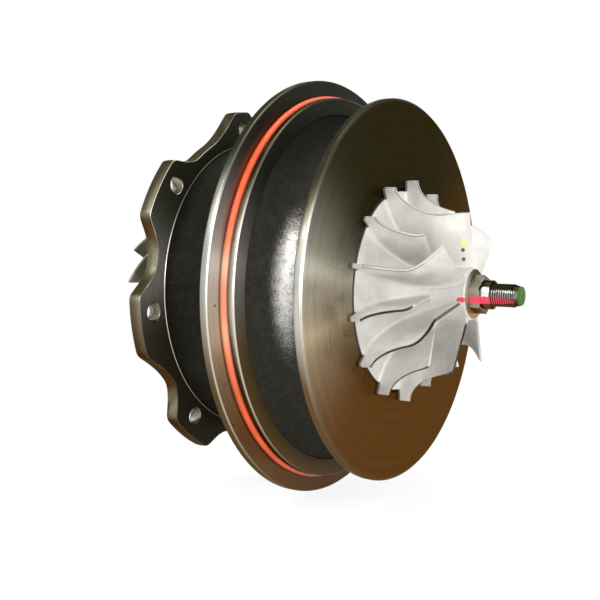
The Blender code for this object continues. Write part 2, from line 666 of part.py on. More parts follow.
def bearing_housing():
    housing = turned("bearing_housing", housing_profile(), LARGE_STEPS)
    join(housing, lug_plate())
    for pad in oil_pads():
        join(housing, pad)
    cut(housing, oil_cavity())
    cut(housing, housing_bore())
    wide, narrow, feeds = port_rods()
    cut(housing, rods("oil_ports", wide, SMALL_STEPS))
    cut(housing, rods("gallery_and_taps", narrow))
    for index, feed in enumerate(feeds, 1):
        cut(housing, rods(f"oil_feed_{index}", [feed], SCREW_STEPS))
    slinger_drain = (
        Vector((TURBINE_END_STATION + TURBINE_SEAL_LENGTH + SLINGER_LENGTH / 2.0, 0, -JOURNAL_RADIUS)),
        Vector((CAVITY_BACK_STATION + SLINGER_LENGTH, 0, -SLEEVE_RADIUS - SLINGER_DRAIN_RADIUS * 2.0)),
        SLINGER_DRAIN_RADIUS,
    )
    cut(housing, rods("slinger_drain", [slinger_drain]))
    thrust_drain = (
        Vector((THRUST_SEAT_STATION + SEAT_GAP, 0, -THRUST_DRAIN_CIRCLE_RADIUS)),
        Vector((CAVITY_FRONT_STATION - SEAT_GAP, 0, -THRUST_DRAIN_CIRCLE_RADIUS)),
        THRUST_DRAIN_RADIUS,
    )
    cut(housing, rods("thrust_drain", [thrust_drain]))
    cut(housing, rods("lug_holes", lug_hole_places()))
    cut(housing, rods("thrust_screw_holes", thrust_screw_places(BORE_GAP), SCREW_STEPS))
    cut(housing, rods("backplate_screw_holes", backplate_screw_places(BORE_GAP), SCREW_STEPS))
    return housing


def lug_hole_places():
    start = LUG_BACK_STATION - CUTTER_OVERRUN
    end = LUG_FACE_STATION + CUTTER_OVERRUN
    circle = LUG_HOLE_CIRCLE_RADIUS
    return circle_places(start, end, circle, LUG_HOLE_RADIUS, LUG_COUNT, LUG_HOLE_ANGLE)


def thrust_screw_places(gap):
    start = THRUST_SEAT_STATION - THRUST_SCREW_REACH - gap
    end = THRUST_FACE_STATION + BAFFLE_THICKNESS + 2.0 * SEAT_GAP
    radius = THRUST_SCREW_RADIUS + gap
    return circle_places(start, end, THRUST_SCREW_CIRCLE_RADIUS, radius, THRUST_SCREWS, HALF_TURN / 2.0)


def backplate_screw_places(gap):
    start = WEB_SEAT_STATION - BACKPLATE_SCREW_REACH - gap
    end = screw_head_seat() + SEAT_GAP
    radius = BACKPLATE_SCREW_RADIUS + gap
    circle = BACKPLATE_SCREW_CIRCLE_RADIUS
    return circle_places(start, end, circle, radius, BACKPLATE_SCREWS, HALF_TURN / 2.0)


# Compressor backplate and its seals


def wheel_back(radius):
    """Station of the back of the compressor wheel at a radius."""
    rim = DISC_STATION - WHEEL_RIM_THICKNESS
    share = (WHEEL_DISC_RADIUS - radius) / (WHEEL_DISC_RADIUS - WHEEL_BACK_RADIUS)
    return rim + (WHEEL_BACK_STATION - rim) * min(max(share, 0.0), 1.0)


def screw_head_seat():
    """Station under the screw heads, which lie below the recess floor."""
    inner = BACKPLATE_SCREW_CIRCLE_RADIUS - BACKPLATE_SCREW_HEAD_RADIUS
    return wheel_back(inner) - WHEEL_GAP - BACKPLATE_SCREW_SUNK - BACKPLATE_SCREW_HEAD_HEIGHT


def backplate_profile():
    recess_radius = WHEEL_DISC_RADIUS + WHEEL_RECESS_GAP
    disc_back = DISC_STATION - DISC_RIM_THICKNESS
    flare_end = SPIGOT_LENGTH + BELL_FLARE_LENGTH
    foot = SPIGOT_LENGTH - BELL_FOOT_DEPTH + SEAT_GAP
    groove_radius = BELL_FOOT_RADIUS - BACKPLATE_O_RING_CORD - SEAT_GAP
    groove_end = SPIGOT_LENGTH - O_RING_LIP
    groove_start = groove_end - BACKPLATE_O_RING_CORD - 2.0 * SEAT_GAP
    under = disc_back - DISC_UNDERSIDE_TAPER
    inner = NECK_RADIUS - BELL_WALL
    ceiling = WEB_SEAT_STATION + WEB_CEILING
    seat = WEB_SEAT_STATION + SEAT_GAP
    shoulder = WEB_BORE_RADIUS - SEAL_PLATE_SHOULDER_WIDTH
    clip_start = SEAL_PLATE_END
    clip_end = clip_start + CIRCLIP_SPAN
    quarter = HALF_TURN / 2.0
    face = [
        (wheel_back(WEB_BORE_RADIUS) - WHEEL_GAP, WEB_BORE_RADIUS),
        (wheel_back(WHEEL_DISC_RADIUS) - WHEEL_GAP, recess_radius),
        (DISC_STATION, recess_radius),
        (DISC_STATION, DISC_RADIUS - DISC_CHAMFER),
        (DISC_STATION - DISC_CHAMFER, DISC_RADIUS),
        (disc_back, DISC_RADIUS),
    ]
    rise = DISC_UNDERSIDE_RISE
    underside = arc(under - rise, NECK_RADIUS + rise, rise, rise, 0.0, -quarter, 3)
    drop = BELL_FOOT_RADIUS - NECK_RADIUS
    flare = arc(flare_end, BELL_FOOT_RADIUS, BELL_FLARE_LENGTH, drop, -quarter, -2.0 * quarter, 4)
    foot_points = [
        (groove_end, BELL_FOOT_RADIUS),
        (groove_end, groove_radius),
        (groove_start, groove_radius),
        (groove_start, BELL_FOOT_RADIUS),
        (foot, BELL_FOOT_RADIUS),
    ]
    length = flare_end - foot
    inside = arc(flare_end, BELL_FOOT_RADIUS - BELL_WALL, length, drop, 2.0 * quarter, 3.0 * quarter, 2)
    web = [
        (ceiling, inner),
        (ceiling, WEB_SEAT_RADIUS),
        (seat, WEB_SEAT_RADIUS),
        (seat, shoulder),
        (seat + SEAL_PLATE_SHOULDER, shoulder),
        (seat + SEAL_PLATE_SHOULDER, WEB_BORE_RADIUS),
        (clip_start, WEB_BORE_RADIUS),
        (clip_start, WEB_BORE_RADIUS + CIRCLIP_DEPTH),
        (clip_end, WEB_BORE_RADIUS + CIRCLIP_DEPTH),
        (clip_end, WEB_BORE_RADIUS),
    ]
    return face + underside + flare + foot_points + inside + web


def compressor_backplate():
    backplate = turned("compressor_backplate", backplate_profile(), LARGE_STEPS)
    cut(backplate, rods("backplate_clearance_holes", backplate_screw_places(BORE_GAP), SCREW_STEPS))
    heads = circle_places(
        screw_head_seat(),
        DISC_STATION,
        BACKPLATE_SCREW_CIRCLE_RADIUS,
        BACKPLATE_SCREW_HEAD_RADIUS + BORE_GAP,
        BACKPLATE_SCREWS,
        HALF_TURN / 2.0,
    )
    cut(backplate, rods("backplate_counterbores", heads))
    return backplate


def cap_screws(name, places, head_start, head_end, head_radius):
    """Socket-head screws, one object each, on the places of their holes."""
    screws = []
    for index, (start, _, radius) in enumerate(places, 1):
        shank_start = start.x
        profile = [
            (head_end - shank_start, 0.0),
            (head_end - shank_start, head_radius),
            (head_start - shank_start, head_radius),
            (head_start - shank_start, radius),
            (0.0, radius),
            (0.0, 0.0),
        ]
        screw = turned(f"{name}_{index}", profile, SCREW_STEPS)
        screw.location = start
        screws.append(screw)
    return screws


def backplate_screws():
    head_start = screw_head_seat() + SEAT_GAP
    head_end = head_start + BACKPLATE_SCREW_HEAD_HEIGHT
    return cap_screws(
        "backplate_screw",
        backplate_screw_places(0.0),
        head_start,
        head_end,
        BACKPLATE_SCREW_HEAD_RADIUS,
    )


def backplate_o_ring():
    half = BACKPLATE_O_RING_CORD / 2.0
    station = SPIGOT_LENGTH - O_RING_LIP - SEAT_GAP - half
    radius = BELL_FOOT_RADIUS - half
    return o_ring("backplate_o_ring", station, radius, BACKPLATE_O_RING_CORD, LARGE_STEPS, SMALL_CORD_SIDES)


def cover_o_ring():
    half = COVER_O_RING_CORD / 2.0
    station = COVER_GROOVE_WIDTH - SEAT_GAP - half
    radius = COVER_GROOVE_RADIUS + SEAT_GAP + half
    return o_ring("cover_o_ring", station, radius, COVER_O_RING_CORD, LARGE_STEPS, LARGE_CORD_SIDES)


def seal_plate():
    groove = SEAL_PLATE_RADIUS - SEAL_PLATE_O_RING_CORD
    middle = (SEAL_PLATE_START + SEAL_PLATE_END) / 2.0
    half = SEAL_PLATE_O_RING_CORD / 2.0 + SEAT_GAP
    profile = [
        (SEAL_PLATE_START, SEAL_BORE_RADIUS),
        (SEAL_PLATE_END, SEAL_BORE_RADIUS),
        (SEAL_PLATE_END, SEAL_PLATE_RADIUS),
        (middle + half, SEAL_PLATE_RADIUS),
        (middle + half, groove),
        (middle - half, groove),
        (middle - half, SEAL_PLATE_RADIUS),
        (SEAL_PLATE_START, SEAL_PLATE_RADIUS),
    ]
    plate = turned("seal_plate", profile, SMALL_STEPS)
    radius = SEAL_PLATE_RADIUS - SEAL_PLATE_O_RING_CORD / 2.0 + SEAT_GAP / 2.0
    cord = SEAL_PLATE_O_RING_CORD - SEAT_GAP
    ring = o_ring("seal_plate_o_ring", middle, radius, cord, SMALL_STEPS, SMALL_CORD_SIDES)
    clip = split_ring(
        "seal_plate_circlip",
        SEAL_PLATE_END + SEAT_GAP,
        SEAL_PLATE_END + SEAT_GAP + CIRCLIP_THICKNESS,
        WEB_BORE_RADIUS - CIRCLIP_WIDTH,
        WEB_BORE_RADIUS + CIRCLIP_DEPTH - SEAT_GAP,
        CIRCLIP_MOUTH,
        -HALF_TURN / 2.0,
    )
    return plate, ring, clip


# Bearings, thrust parts and piston rings


def journal_bearing(name, station):
    """A floating sleeve on its own spin axis, with oil holes through its wall."""
    half = BEARING_LENGTH / 2.0
    bearing = turned(name, ring_profile(-half, half, BEARING_BORE_RADIUS, BEARING_RADIUS), SMALL_STEPS)
    holes = []
    for index in range(BEARING_OIL_HOLES):
        angle = FULL_TURN * index / BEARING_OIL_HOLES
        start = round_at(0.0, JOURNAL_RADIUS / 2.0, angle)
        end = round_at(0.0, BEARING_RADIUS + BEARING_WALL, angle)
        holes.append((start, end, BEARING_OIL_HOLE_RADIUS))
    cut(bearing, rods(name + "_oil_holes", holes, SCREW_STEPS))
    bearing.location = (station, 0.0, 0.0)
    return bearing


def bearing_circlip(name, groove_start):
    start = groove_start + RING_SIDE_GAP
    return split_ring(
        name,
        start,
        start + CIRCLIP_THICKNESS,
        SLEEVE_BORE_RADIUS - CIRCLIP_WIDTH,
        SLEEVE_BORE_RADIUS + CIRCLIP_DEPTH - SEAT_GAP,
        CIRCLIP_MOUTH,
        -HALF_TURN / 2.0,
    )


def thrust_bearing():
    """A plate with oil grooves in its face and a flat below for the drain."""
    bore = COLLAR_SLEEVE_RADIUS + BORE_GAP
    start = THRUST_SEAT_STATION + SEAT_GAP
    profile = ring_profile(start, THRUST_FACE_STATION, bore, THRUST_BEARING_RADIUS)
    plate = turned("thrust_bearing", profile, SMALL_STEPS)
    reach = THRUST_BEARING_RADIUS * 2.0
    cut(plate, box("drain_flat", (start - reach, -reach, -reach), (start + reach, reach, -THRUST_DRAIN_FLAT)))
    half = THRUST_GROOVE_WIDTH / 2.0
    for index in range(THRUST_GROOVES):
        low = (THRUST_FACE_STATION - THRUST_GROOVE_DEPTH, -half, bore - half)
        high = (THRUST_FACE_STATION + half, half, COLLAR_FLANGE_RADIUS)
        groove = box(f"thrust_groove_{index + 1}", low, high)
        groove.rotation_euler.x = FULL_TURN * (index + 0.5) / THRUST_GROOVES
        cut(plate, groove)
    cut(plate, rods("thrust_clearance_holes", thrust_screw_places(BORE_GAP), SCREW_STEPS))
    return plate


def oil_baffle():
    """A dished plate that keeps oil away from the seal plate."""
    start = THRUST_FACE_STATION + SEAT_GAP
    face = start + BAFFLE_THICKNESS
    dish = start + BAFFLE_DISH
    bore = FLINGER_LAND_RADIUS + WHEEL_GAP
    inner = BAFFLE_DISH_RADIUS - BAFFLE_THICKNESS
    profile = [
        (start, BAFFLE_DISH_RADIUS),
        (dish, inner),
        (dish, bore),
        (dish + BAFFLE_THICKNESS, bore),
        (dish + BAFFLE_THICKNESS, BAFFLE_DISH_RADIUS),
        (face, BAFFLE_DISH_RADIUS + BAFFLE_THICKNESS),
        (face, THRUST_BEARING_RADIUS),
        (start, THRUST_BEARING_RADIUS),
    ]
    baffle = turned("oil_baffle", profile, SMALL_STEPS)
    return cut(baffle, rods("baffle_clearance_holes", thrust_screw_places(BORE_GAP), SCREW_STEPS))


def thrust_screws():
    head_start = THRUST_FACE_STATION + BAFFLE_THICKNESS + 2.0 * SEAT_GAP
    return cap_screws(
        "thrust_screw",
        thrust_screw_places(0.0),
        head_start,
        head_start + THRUST_SCREW_HEAD_HEIGHT,
        THRUST_SCREW_HEAD_RADIUS,
    )


def turbine_ring_station(index):
    return TURBINE_END_STATION + TURBINE_RING_INSET + TURBINE_RING_WIDTH / 2.0 + TURBINE_RING_PITCH * index


def piston_rings():
    middle = (SEAL_PLATE_START + SEAL_PLATE_END) / 2.0
    half = COMPRESSOR_RING_WIDTH / 2.0
    outer = SEAL_BORE_RADIUS - SEAT_GAP
    inner = outer - COMPRESSOR_RING_WALL
    name = "compressor_piston_ring"
    rings = [split_ring(name, middle - half, middle + half, inner, outer, RING_MOUTH, 0.0)]
    for index in range(TURBINE_RINGS):
        middle = turbine_ring_station(index)
        half = TURBINE_RING_WIDTH / 2.0
        outer = TURBINE_SEAL_BORE_RADIUS - SEAT_GAP
        inner = outer - TURBINE_RING_WALL
        angle = HALF_TURN * index
        name = f"turbine_piston_ring_{index + 1}"
        rings.append(split_ring(name, middle - half, middle + half, inner, outer, RING_MOUTH, angle))
    return rings


def heat_shield():
    """A dished plate between the housing and the back of the turbine wheel."""
    back = SHIELD_STATION - HEAT_SHIELD_THICKNESS
    dish = SHIELD_STATION - HEAT_SHIELD_DISH
    slope = HEAT_SHIELD_DISH / 2.0
    profile = [
        (SHIELD_STATION, HEAT_SHIELD_RADIUS),
        (back, HEAT_SHIELD_RADIUS),
        (back, HEAT_SHIELD_DISH_RADIUS + slope),
        (dish - HEAT_SHIELD_THICKNESS, HEAT_SHIELD_DISH_RADIUS),
        (dish - HEAT_SHIELD_THICKNESS, HEAT_SHIELD_BORE_RADIUS),
        (dish, HEAT_SHIELD_BORE_RADIUS),
        (dish, HEAT_SHIELD_DISH_RADIUS - HEAT_SHIELD_THICKNESS),
        (SHIELD_STATION, HEAT_SHIELD_DISH_RADIUS + slope - HEAT_SHIELD_THICKNESS),
    ]
    return turned("heat_shield", profile, MEDIUM_STEPS)


# Rotor


def rotor_shaft():
    grooves = []
    ring_inner = TURBINE_SEAL_BORE_RADIUS - SEAT_GAP - TURBINE_RING_WALL
    for index in range(TURBINE_RINGS):
        middle = turbine_ring_station(index)
        half = TURBINE_RING_WIDTH / 2.0 + RING_SIDE_GAP
        grooves += [
            (middle - half, TURBINE_LAND_RADIUS),
            (middle - half, ring_inner - SEAT_GAP),
            (middle + half, ring_inner - SEAT_GAP),
            (middle + half, TURBINE_LAND_RADIUS),
        ]
    land_end = TURBINE_END_STATION + TURBINE_SEAL_LENGTH
    half_bearing = BEARING_LENGTH / 2.0 + BEARING_OVERHANG
    shoulder = COLLAR_BACK_STATION - SEAT_GAP
    profile = [
        (WELD_STATION, 0.0),
        (WELD_STATION, TURBINE_LAND_RADIUS),
        *grooves,
        (land_end, TURBINE_LAND_RADIUS),
        (land_end + SLINGER_LENGTH, JOURNAL_RADIUS),
        (TURBINE_BEARING_STATION + half_bearing, JOURNAL_RADIUS),
        (TURBINE_BEARING_STATION + half_bearing + BEARING_OVERHANG, SHAFT_WAIST_RADIUS),
        (COMPRESSOR_BEARING_STATION - half_bearing - BEARING_OVERHANG, SHAFT_WAIST_RADIUS),
        (COMPRESSOR_BEARING_STATION - half_bearing, JOURNAL_RADIUS),
        (shoulder, JOURNAL_RADIUS),
        (shoulder, STUB_RADIUS),
        (SHAFT_END_STATION - SHAFT_END_TAPER, STUB_RADIUS),
        (SHAFT_END_STATION, SHAFT_END_RADIUS),
        (SHAFT_END_STATION, 0.0),
    ]
    return turned("rotor_shaft", profile, SMALL_STEPS)


def thrust_collar():
    profile = [
        (COLLAR_BACK_STATION, STUB_BORE_RADIUS),
        (COLLAR_END_STATION, STUB_BORE_RADIUS),
        (COLLAR_END_STATION, COLLAR_SLEEVE_RADIUS),
        (COLLAR_FRONT_STATION, COLLAR_SLEEVE_RADIUS),
        (COLLAR_FRONT_STATION, COLLAR_FLANGE_RADIUS),
        (COLLAR_BACK_STATION, COLLAR_FLANGE_RADIUS),
    ]
    return turned("thrust_collar", profile, SMALL_STEPS)


def oil_flinger():
    """The spinning sleeve that carries the compressor piston ring."""
    middle = (SEAL_PLATE_START + SEAL_PLATE_END) / 2.0
    half = COMPRESSOR_RING_WIDTH / 2.0 + RING_SIDE_GAP
    bottom = SEAL_BORE_RADIUS - COMPRESSOR_RING_WALL - 2.0 * SEAT_GAP
    profile = [
        (FLINGER_START_STATION, STUB_BORE_RADIUS),
        (FLINGER_END_STATION, STUB_BORE_RADIUS),
        (FLINGER_END_STATION, FLINGER_LAND_RADIUS),
        (middle + half, FLINGER_LAND_RADIUS),
        (middle + half, bottom),
        (middle - half, bottom),
        (middle - half, FLINGER_LAND_RADIUS),
        (FLINGER_FLANGE_END, FLINGER_LAND_RADIUS),
        (FLINGER_FLANGE_END, COLLAR_FLANGE_RADIUS),
        (FLINGER_START_STATION, COLLAR_FLANGE_RADIUS),
    ]
    return turned("oil_flinger", profile, SMALL_STEPS)


def even_shares(start, end, count):
    return [start + (end - start) * index / count for index in range(count + 1)]


def add_blade(bm, shares, root_at, crown_at, angle_at, root_thickness, crown_thickness):
    """Loft one blade through its sections; the *_at functions take a share from inlet to outlet."""
    sections = []
    for share in shares:
        root = (*root_at(share), root_thickness / 2.0)
        crown = (*crown_at(share), crown_thickness / 2.0)
        section = []
        for (station, radius, half), side in ((root, -1.0), (crown, -1.0), (crown, 1.0), (root, 1.0)):
            angle = angle_at(share) + side * half / radius
            section.append(bm.verts.new(round_at(station, radius, angle)))
        sections.append(section)
    for first, second in zip(sections, sections[1:]):
        for index, corner in enumerate(first):
            bm.faces.new((corner, first[index - 1], second[index - 1], second[index]))
    bm.faces.new(sections[0])
    bm.faces.new(sections[-1])


def compressor_hub(sink, share):
    """Point of the hub curve, sunk into the hub, at a share from the eye to the rim."""
    turn = share * HALF_TURN / 2.0
    length = WHEEL_HUB_HEIGHT + sink
    height = WHEEL_DISC_RADIUS - WHEEL_HUB_RADIUS + sink
    station = DISC_STATION + WHEEL_HUB_HEIGHT - length * math.sin(turn)
    return station, WHEEL_DISC_RADIUS - height * math.cos(turn)


def compressor_root(share):
    """Foot of a blade: along the hub, then clear of the backplate out to the tip."""
    if share < RIM_SHARE:
        return compressor_hub(BLADE_SINK, share / RIM_SHARE * RIM_REACH)
    reach = (share - RIM_SHARE) / (1.0 - RIM_SHARE)
    start = WHEEL_DISC_RADIUS + WHEEL_TIP_CLEARANCE / 2.0
    return DISC_STATION + WHEEL_TIP_CLEARANCE, start + (WHEEL_TIP_RADIUS - start) * reach


def compressor_crown(share):
    turn = share * HALF_TURN / 2.0
    length = WHEEL_EYE_HEIGHT - WHEEL_OUTLET_WIDTH
    height = WHEEL_TIP_RADIUS - WHEEL_EYE_RADIUS
    station = DISC_STATION + WHEEL_EYE_HEIGHT - length * math.sin(turn)
    return station, WHEEL_TIP_RADIUS - height * math.cos(turn)


def compressor_wrap(share):
    """Angle of a blade back from its tip: a scooped inducer, then a slight sweep."""
    scoop = 1.0 - min(share / INDUCER_SHARE, 1.0)
    return -(INDUCER_WRAP * scoop * scoop + OUTLET_SWEEP * (1.0 - share))


def compressor_wheel():
    hub = [compressor_hub(0.0, index / HUB_SEGMENTS) for index in range(HUB_SEGMENTS + 1)]
    profile = [
        (WHEEL_BACK_STATION, STUB_BORE_RADIUS),
        (NOSE_STATION, STUB_BORE_RADIUS),
        (NOSE_STATION, WHEEL_HUB_RADIUS - WHEEL_NOSE_CHAMFER),
        (NOSE_STATION - WHEEL_NOSE_CHAMFER, WHEEL_HUB_RADIUS),
        *hub,
        (DISC_STATION - WHEEL_RIM_THICKNESS, WHEEL_DISC_RADIUS),
        (WHEEL_BACK_STATION, WHEEL_BACK_RADIUS),
    ]
    wheel = turned("compressor_wheel", profile, MEDIUM_STEPS)
    full = [*even_shares(0.0, RIM_SHARE - KNEE, FULL_BLADE_SECTIONS), RIM_SHARE, 1.0]
    split = [*even_shares(SPLITTER_START, RIM_SHARE - KNEE, SPLITTER_SECTIONS), RIM_SHARE, 1.0]
    bm = bmesh.new()
    pitch = FULL_TURN / BLADE_PAIRS
    for pair in range(BLADE_PAIRS):
        for shares, phase in ((full, 0.0), (split, pitch / 2.0)):
            turn = FULL_BLADE_ANGLE + pitch * pair + phase
            add_blade(
                bm,
                shares,
                compressor_root,
                compressor_crown,
                lambda share, turn=turn: turn + compressor_wrap(share),
                BLADE_ROOT_THICKNESS,
                BLADE_TIP_THICKNESS,
            )
    return join(wheel, object_of("compressor_blades", bm, CUTTERS))


def turbine_hub(sink, share):
    turn = share * HALF_TURN / 2.0
    length = TURBINE_BLADE_LENGTH - TURBINE_DISC_THICKNESS + sink
    height = TURBINE_DISC_RADIUS - TURBINE_HUB_RADIUS + sink
    station = TURBINE_BACK_STATION - TURBINE_BLADE_LENGTH + length * math.cos(turn)
    return station, TURBINE_DISC_RADIUS - height * math.sin(turn)


def turbine_root(share):
    """Foot of a turbine blade: past the scalloped disc first, then along the hub."""
    if share < SCALLOP_SHARE:
        reach = share / SCALLOP_SHARE
        end = TURBINE_DISC_RADIUS + BLADE_SINK
        radius = TURBINE_TIP_RADIUS + (end - TURBINE_TIP_RADIUS) * reach
        return TURBINE_BACK_STATION - BLADE_SINK / 2.0, radius
    return turbine_hub(BLADE_SINK, (share - SCALLOP_SHARE) / (1.0 - SCALLOP_SHARE))


def turbine_crown(share):
    turn = share * HALF_TURN / 2.0
    length = TURBINE_BLADE_LENGTH - TURBINE_INLET_WIDTH
    height = TURBINE_TIP_RADIUS - TURBINE_OUTLET_RADIUS
    station = TURBINE_BACK_STATION - TURBINE_BLADE_LENGTH + length * math.cos(turn)
    return station, TURBINE_TIP_RADIUS - height * math.sin(turn)


def turbine_wheel():
    hub = [turbine_hub(0.0, index / HUB_SEGMENTS) for index in range(HUB_SEGMENTS + 1)]
    end = TURBINE_BACK_STATION - TURBINE_BLADE_LENGTH
    profile = [
        (WELD_STATION - SEAT_GAP, 0.0),
        (WELD_STATION - SEAT_GAP, TURBINE_LAND_RADIUS),
        (TURBINE_BACK_STATION, TURBINE_LAND_RADIUS),
        (TURBINE_BACK_STATION, TURBINE_DISC_RADIUS),
        *hub,
        (end - TURBINE_NOSE_LENGTH / 2.0, TURBINE_HUB_RADIUS - TURBINE_NOSE_TAPER),
        (end - TURBINE_NOSE_LENGTH / 2.0, TURBINE_NOSE_RADIUS),
        (end - TURBINE_NOSE_LENGTH, TURBINE_NOSE_RADIUS),
        (end - TURBINE_NOSE_LENGTH, 0.0),
    ]
    wheel = turned("turbine_wheel", list(reversed(profile)), MEDIUM_STEPS)
    shares = [0.0, SCALLOP_SHARE - KNEE, *even_shares(SCALLOP_SHARE, 1.0, TURBINE_BLADE_SECTIONS)]
    bm = bmesh.new()
    for blade in range(TURBINE_BLADES):
        turn = TURBINE_BLADE_ANGLE + FULL_TURN * blade / TURBINE_BLADES
        add_blade(
            bm,
            shares,
            turbine_root,
            turbine_crown,
            lambda share, turn=turn: turn - TURBINE_WRAP * (1.0 - smooth_bend(share)),
            TURBINE_ROOT_THICKNESS,
            TURBINE_BLADE_THICKNESS,
        )
    return join(wheel, object_of("turbine_blades", bm, CUTTERS))


def smooth_bend(share):
    """Turbine blades stay radial at first and bend over towards the outlet."""
    late = max((share - TURBINE_BEND_SHARE) / (1.0 - TURBINE_BEND_SHARE), 0.0)
    return late * late


def compressor_nut():
    corner = NUT_ACROSS_FLATS / 2.0 / math.cos(HALF_TURN / 6.0)
    end = NUT_STATION + NUT_HEX_HEIGHT
    axis = Vector((1.0, 0.0, 0.0))
    nut = rods("compressor_nut", [(axis * NUT_STATION, axis * end, corner)], 6, PARTS)
    nut.data.transform(Matrix.Rotation(NUT_ANGLE, 4, "X"))
    barrel = [
        (NUT_STATION, 0.0),
        (NUT_STATION, NUT_ACROSS_FLATS / 2.0),
        (NUT_STATION + NUT_CHAMFER, corner + NUT_CHAMFER),
        (end - NUT_CHAMFER, corner + NUT_CHAMFER),
        (end, NUT_ACROSS_FLATS / 2.0),
        (end, 0.0),
    ]
    combine(nut, turned("nut_barrel", barrel, HOLE_STEPS, CUTTERS), "INTERSECT")
    collar_start = axis * (end - NUT_CHAMFER)
    collar_end = axis * (end + NUT_COLLAR_HEIGHT)
    join(nut, rods("nut_collar", [(collar_start, collar_end, NUT_COLLAR_RADIUS)], SMALL_STEPS))
    bore_start = axis * (NUT_STATION - NUT_CHAMFER)
    bore_end = axis * (end + NUT_COLLAR_HEIGHT + NUT_CHAMFER)
    return cut(nut, rods("nut_bore", [(bore_start, bore_end, STUB_BORE_RADIUS)], SMALL_STEPS))


# Assembly


def finish(objects, material, carrier=None):
    """Give objects their material, smooth their round faces and parent them."""
    for obj in objects:
        mesh = obj.data
        mesh.materials.clear()
        mesh.materials.append(material)
        mesh.shade_smooth()
        mesh.set_sharp_from_angle(angle=SHARP_ANGLE)
        if carrier is not None:
            obj.parent = carrier


def spin_axis(name, station):
    """An empty on the shaft axis, which turns what is parented to it."""
    empty = bpy.data.objects.new(name, None)
    empty.empty_display_size = SPIGOT_LENGTH
    empty.location = (station, 0.0, 0.0)
    PARTS.objects.link(empty)
    return empty


black_casting = make_material("black_casting", (0.035, 0.036, 0.035), 0.55, 0.4)
machined_iron = make_material("machined_iron", (0.42, 0.38, 0.33), 0.3, 1.0)
cast_aluminium = make_material("cast_aluminium", (0.86, 0.86, 0.87), 0.4, 0.9)
nickel_alloy = make_material("nickel_alloy", (0.3, 0.28, 0.26), 0.4, 1.0)
bright_steel = make_material("bright_steel", (0.62, 0.61, 0.6), 0.25, 1.0)
spring_steel = make_material("spring_steel", (0.25, 0.25, 0.26), 0.35, 1.0)
shield_steel = make_material("shield_steel", (0.5, 0.47, 0.43), 0.35, 1.0)
bronze = make_material("bronze", (0.62, 0.42, 0.2), 0.35, 1.0)
orange_rubber = make_material("orange_rubber", (0.95, 0.13, 0.05), 0.45, 0.0)
black_rubber = make_material("black_rubber", (0.02, 0.02, 0.02), 0.6, 0.0)

rotor = spin_axis("rotor_spin_axis", 0.0)
seal_parts = seal_plate()

finish([bearing_housing()], black_casting)
finish([compressor_backplate()], machined_iron)
finish([cover_o_ring()], orange_rubber)
finish([backplate_o_ring(), seal_parts[1]], black_rubber)
finish([seal_parts[0]], machined_iron)
finish([seal_parts[2]], spring_steel)
finish(backplate_screws() + thrust_screws(), spring_steel)
finish([bearing_circlip("compressor_bearing_circlip", COMPRESSOR_CLIP_START)], spring_steel)
finish([bearing_circlip("turbine_bearing_circlip", TURBINE_CLIP_START)], spring_steel)
finish([journal_bearing("compressor_journal_bearing", COMPRESSOR_BEARING_STATION)], bronze)
finish([journal_bearing("turbine_journal_bearing", TURBINE_BEARING_STATION)], bronze)
finish([thrust_bearing()], bronze)
finish([oil_baffle(), heat_shield()], shield_steel)
finish(piston_rings(), spring_steel)
finish([rotor_shaft(), thrust_collar(), oil_flinger(), compressor_nut()], bright_steel, rotor)
finish([turbine_wheel()], nickel_alloy, rotor)
finish([compressor_wheel()], cast_aluminium, rotor)
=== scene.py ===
import math

import bmesh
import bpy
from mathutils import Matrix, Vector


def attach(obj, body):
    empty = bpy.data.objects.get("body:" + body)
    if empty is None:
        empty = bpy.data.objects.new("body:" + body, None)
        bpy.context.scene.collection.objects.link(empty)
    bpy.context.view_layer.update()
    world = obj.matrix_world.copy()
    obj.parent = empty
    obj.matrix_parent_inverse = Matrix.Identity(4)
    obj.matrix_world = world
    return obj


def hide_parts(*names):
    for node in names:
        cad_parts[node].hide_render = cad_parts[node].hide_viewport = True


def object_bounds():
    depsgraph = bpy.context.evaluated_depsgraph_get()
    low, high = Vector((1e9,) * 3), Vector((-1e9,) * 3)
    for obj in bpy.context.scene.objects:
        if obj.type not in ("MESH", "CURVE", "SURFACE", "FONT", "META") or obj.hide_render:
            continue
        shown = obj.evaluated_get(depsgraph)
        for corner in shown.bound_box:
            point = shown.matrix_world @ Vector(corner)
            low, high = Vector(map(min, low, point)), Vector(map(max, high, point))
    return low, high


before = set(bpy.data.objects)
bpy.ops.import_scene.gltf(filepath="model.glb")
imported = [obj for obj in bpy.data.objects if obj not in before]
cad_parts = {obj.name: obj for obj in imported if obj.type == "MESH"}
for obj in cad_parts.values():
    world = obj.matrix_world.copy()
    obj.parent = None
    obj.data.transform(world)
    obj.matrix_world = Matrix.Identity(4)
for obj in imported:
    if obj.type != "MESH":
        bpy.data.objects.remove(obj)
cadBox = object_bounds()
print("frame loaded")

mm = 0.001
fullTurn = 2.0 * math.pi
quarterTurn = math.pi / 2.0
black = (0.0, 0.0, 0.0)
white = (1.0, 1.0, 1.0)


# nodes, for materials and for geometry alike

def setSocket(tree, socket, value):
    # another socket is linked, and a colour comes without its alpha
    if isinstance(value, bpy.types.NodeSocket):
        tree.links.new(value, socket)
    elif socket.type == "RGBA":
        socket.default_value = (*value, 1.0)
    else:
        socket.default_value = value


def addNode(tree, kind, values=(), **settings):
    # values go in by place or by name
    made = tree.nodes.new(kind)
    for name, value in settings.items():
        setattr(made, name, value)
    pairs = values.items() if isinstance(values, dict) else enumerate(values)
    for key, value in pairs:
        setSocket(tree, made.inputs[key], value)
    return made


def doMath(tree, operation, *values):
    return addNode(tree, "ShaderNodeMath", values, operation=operation).outputs[0]


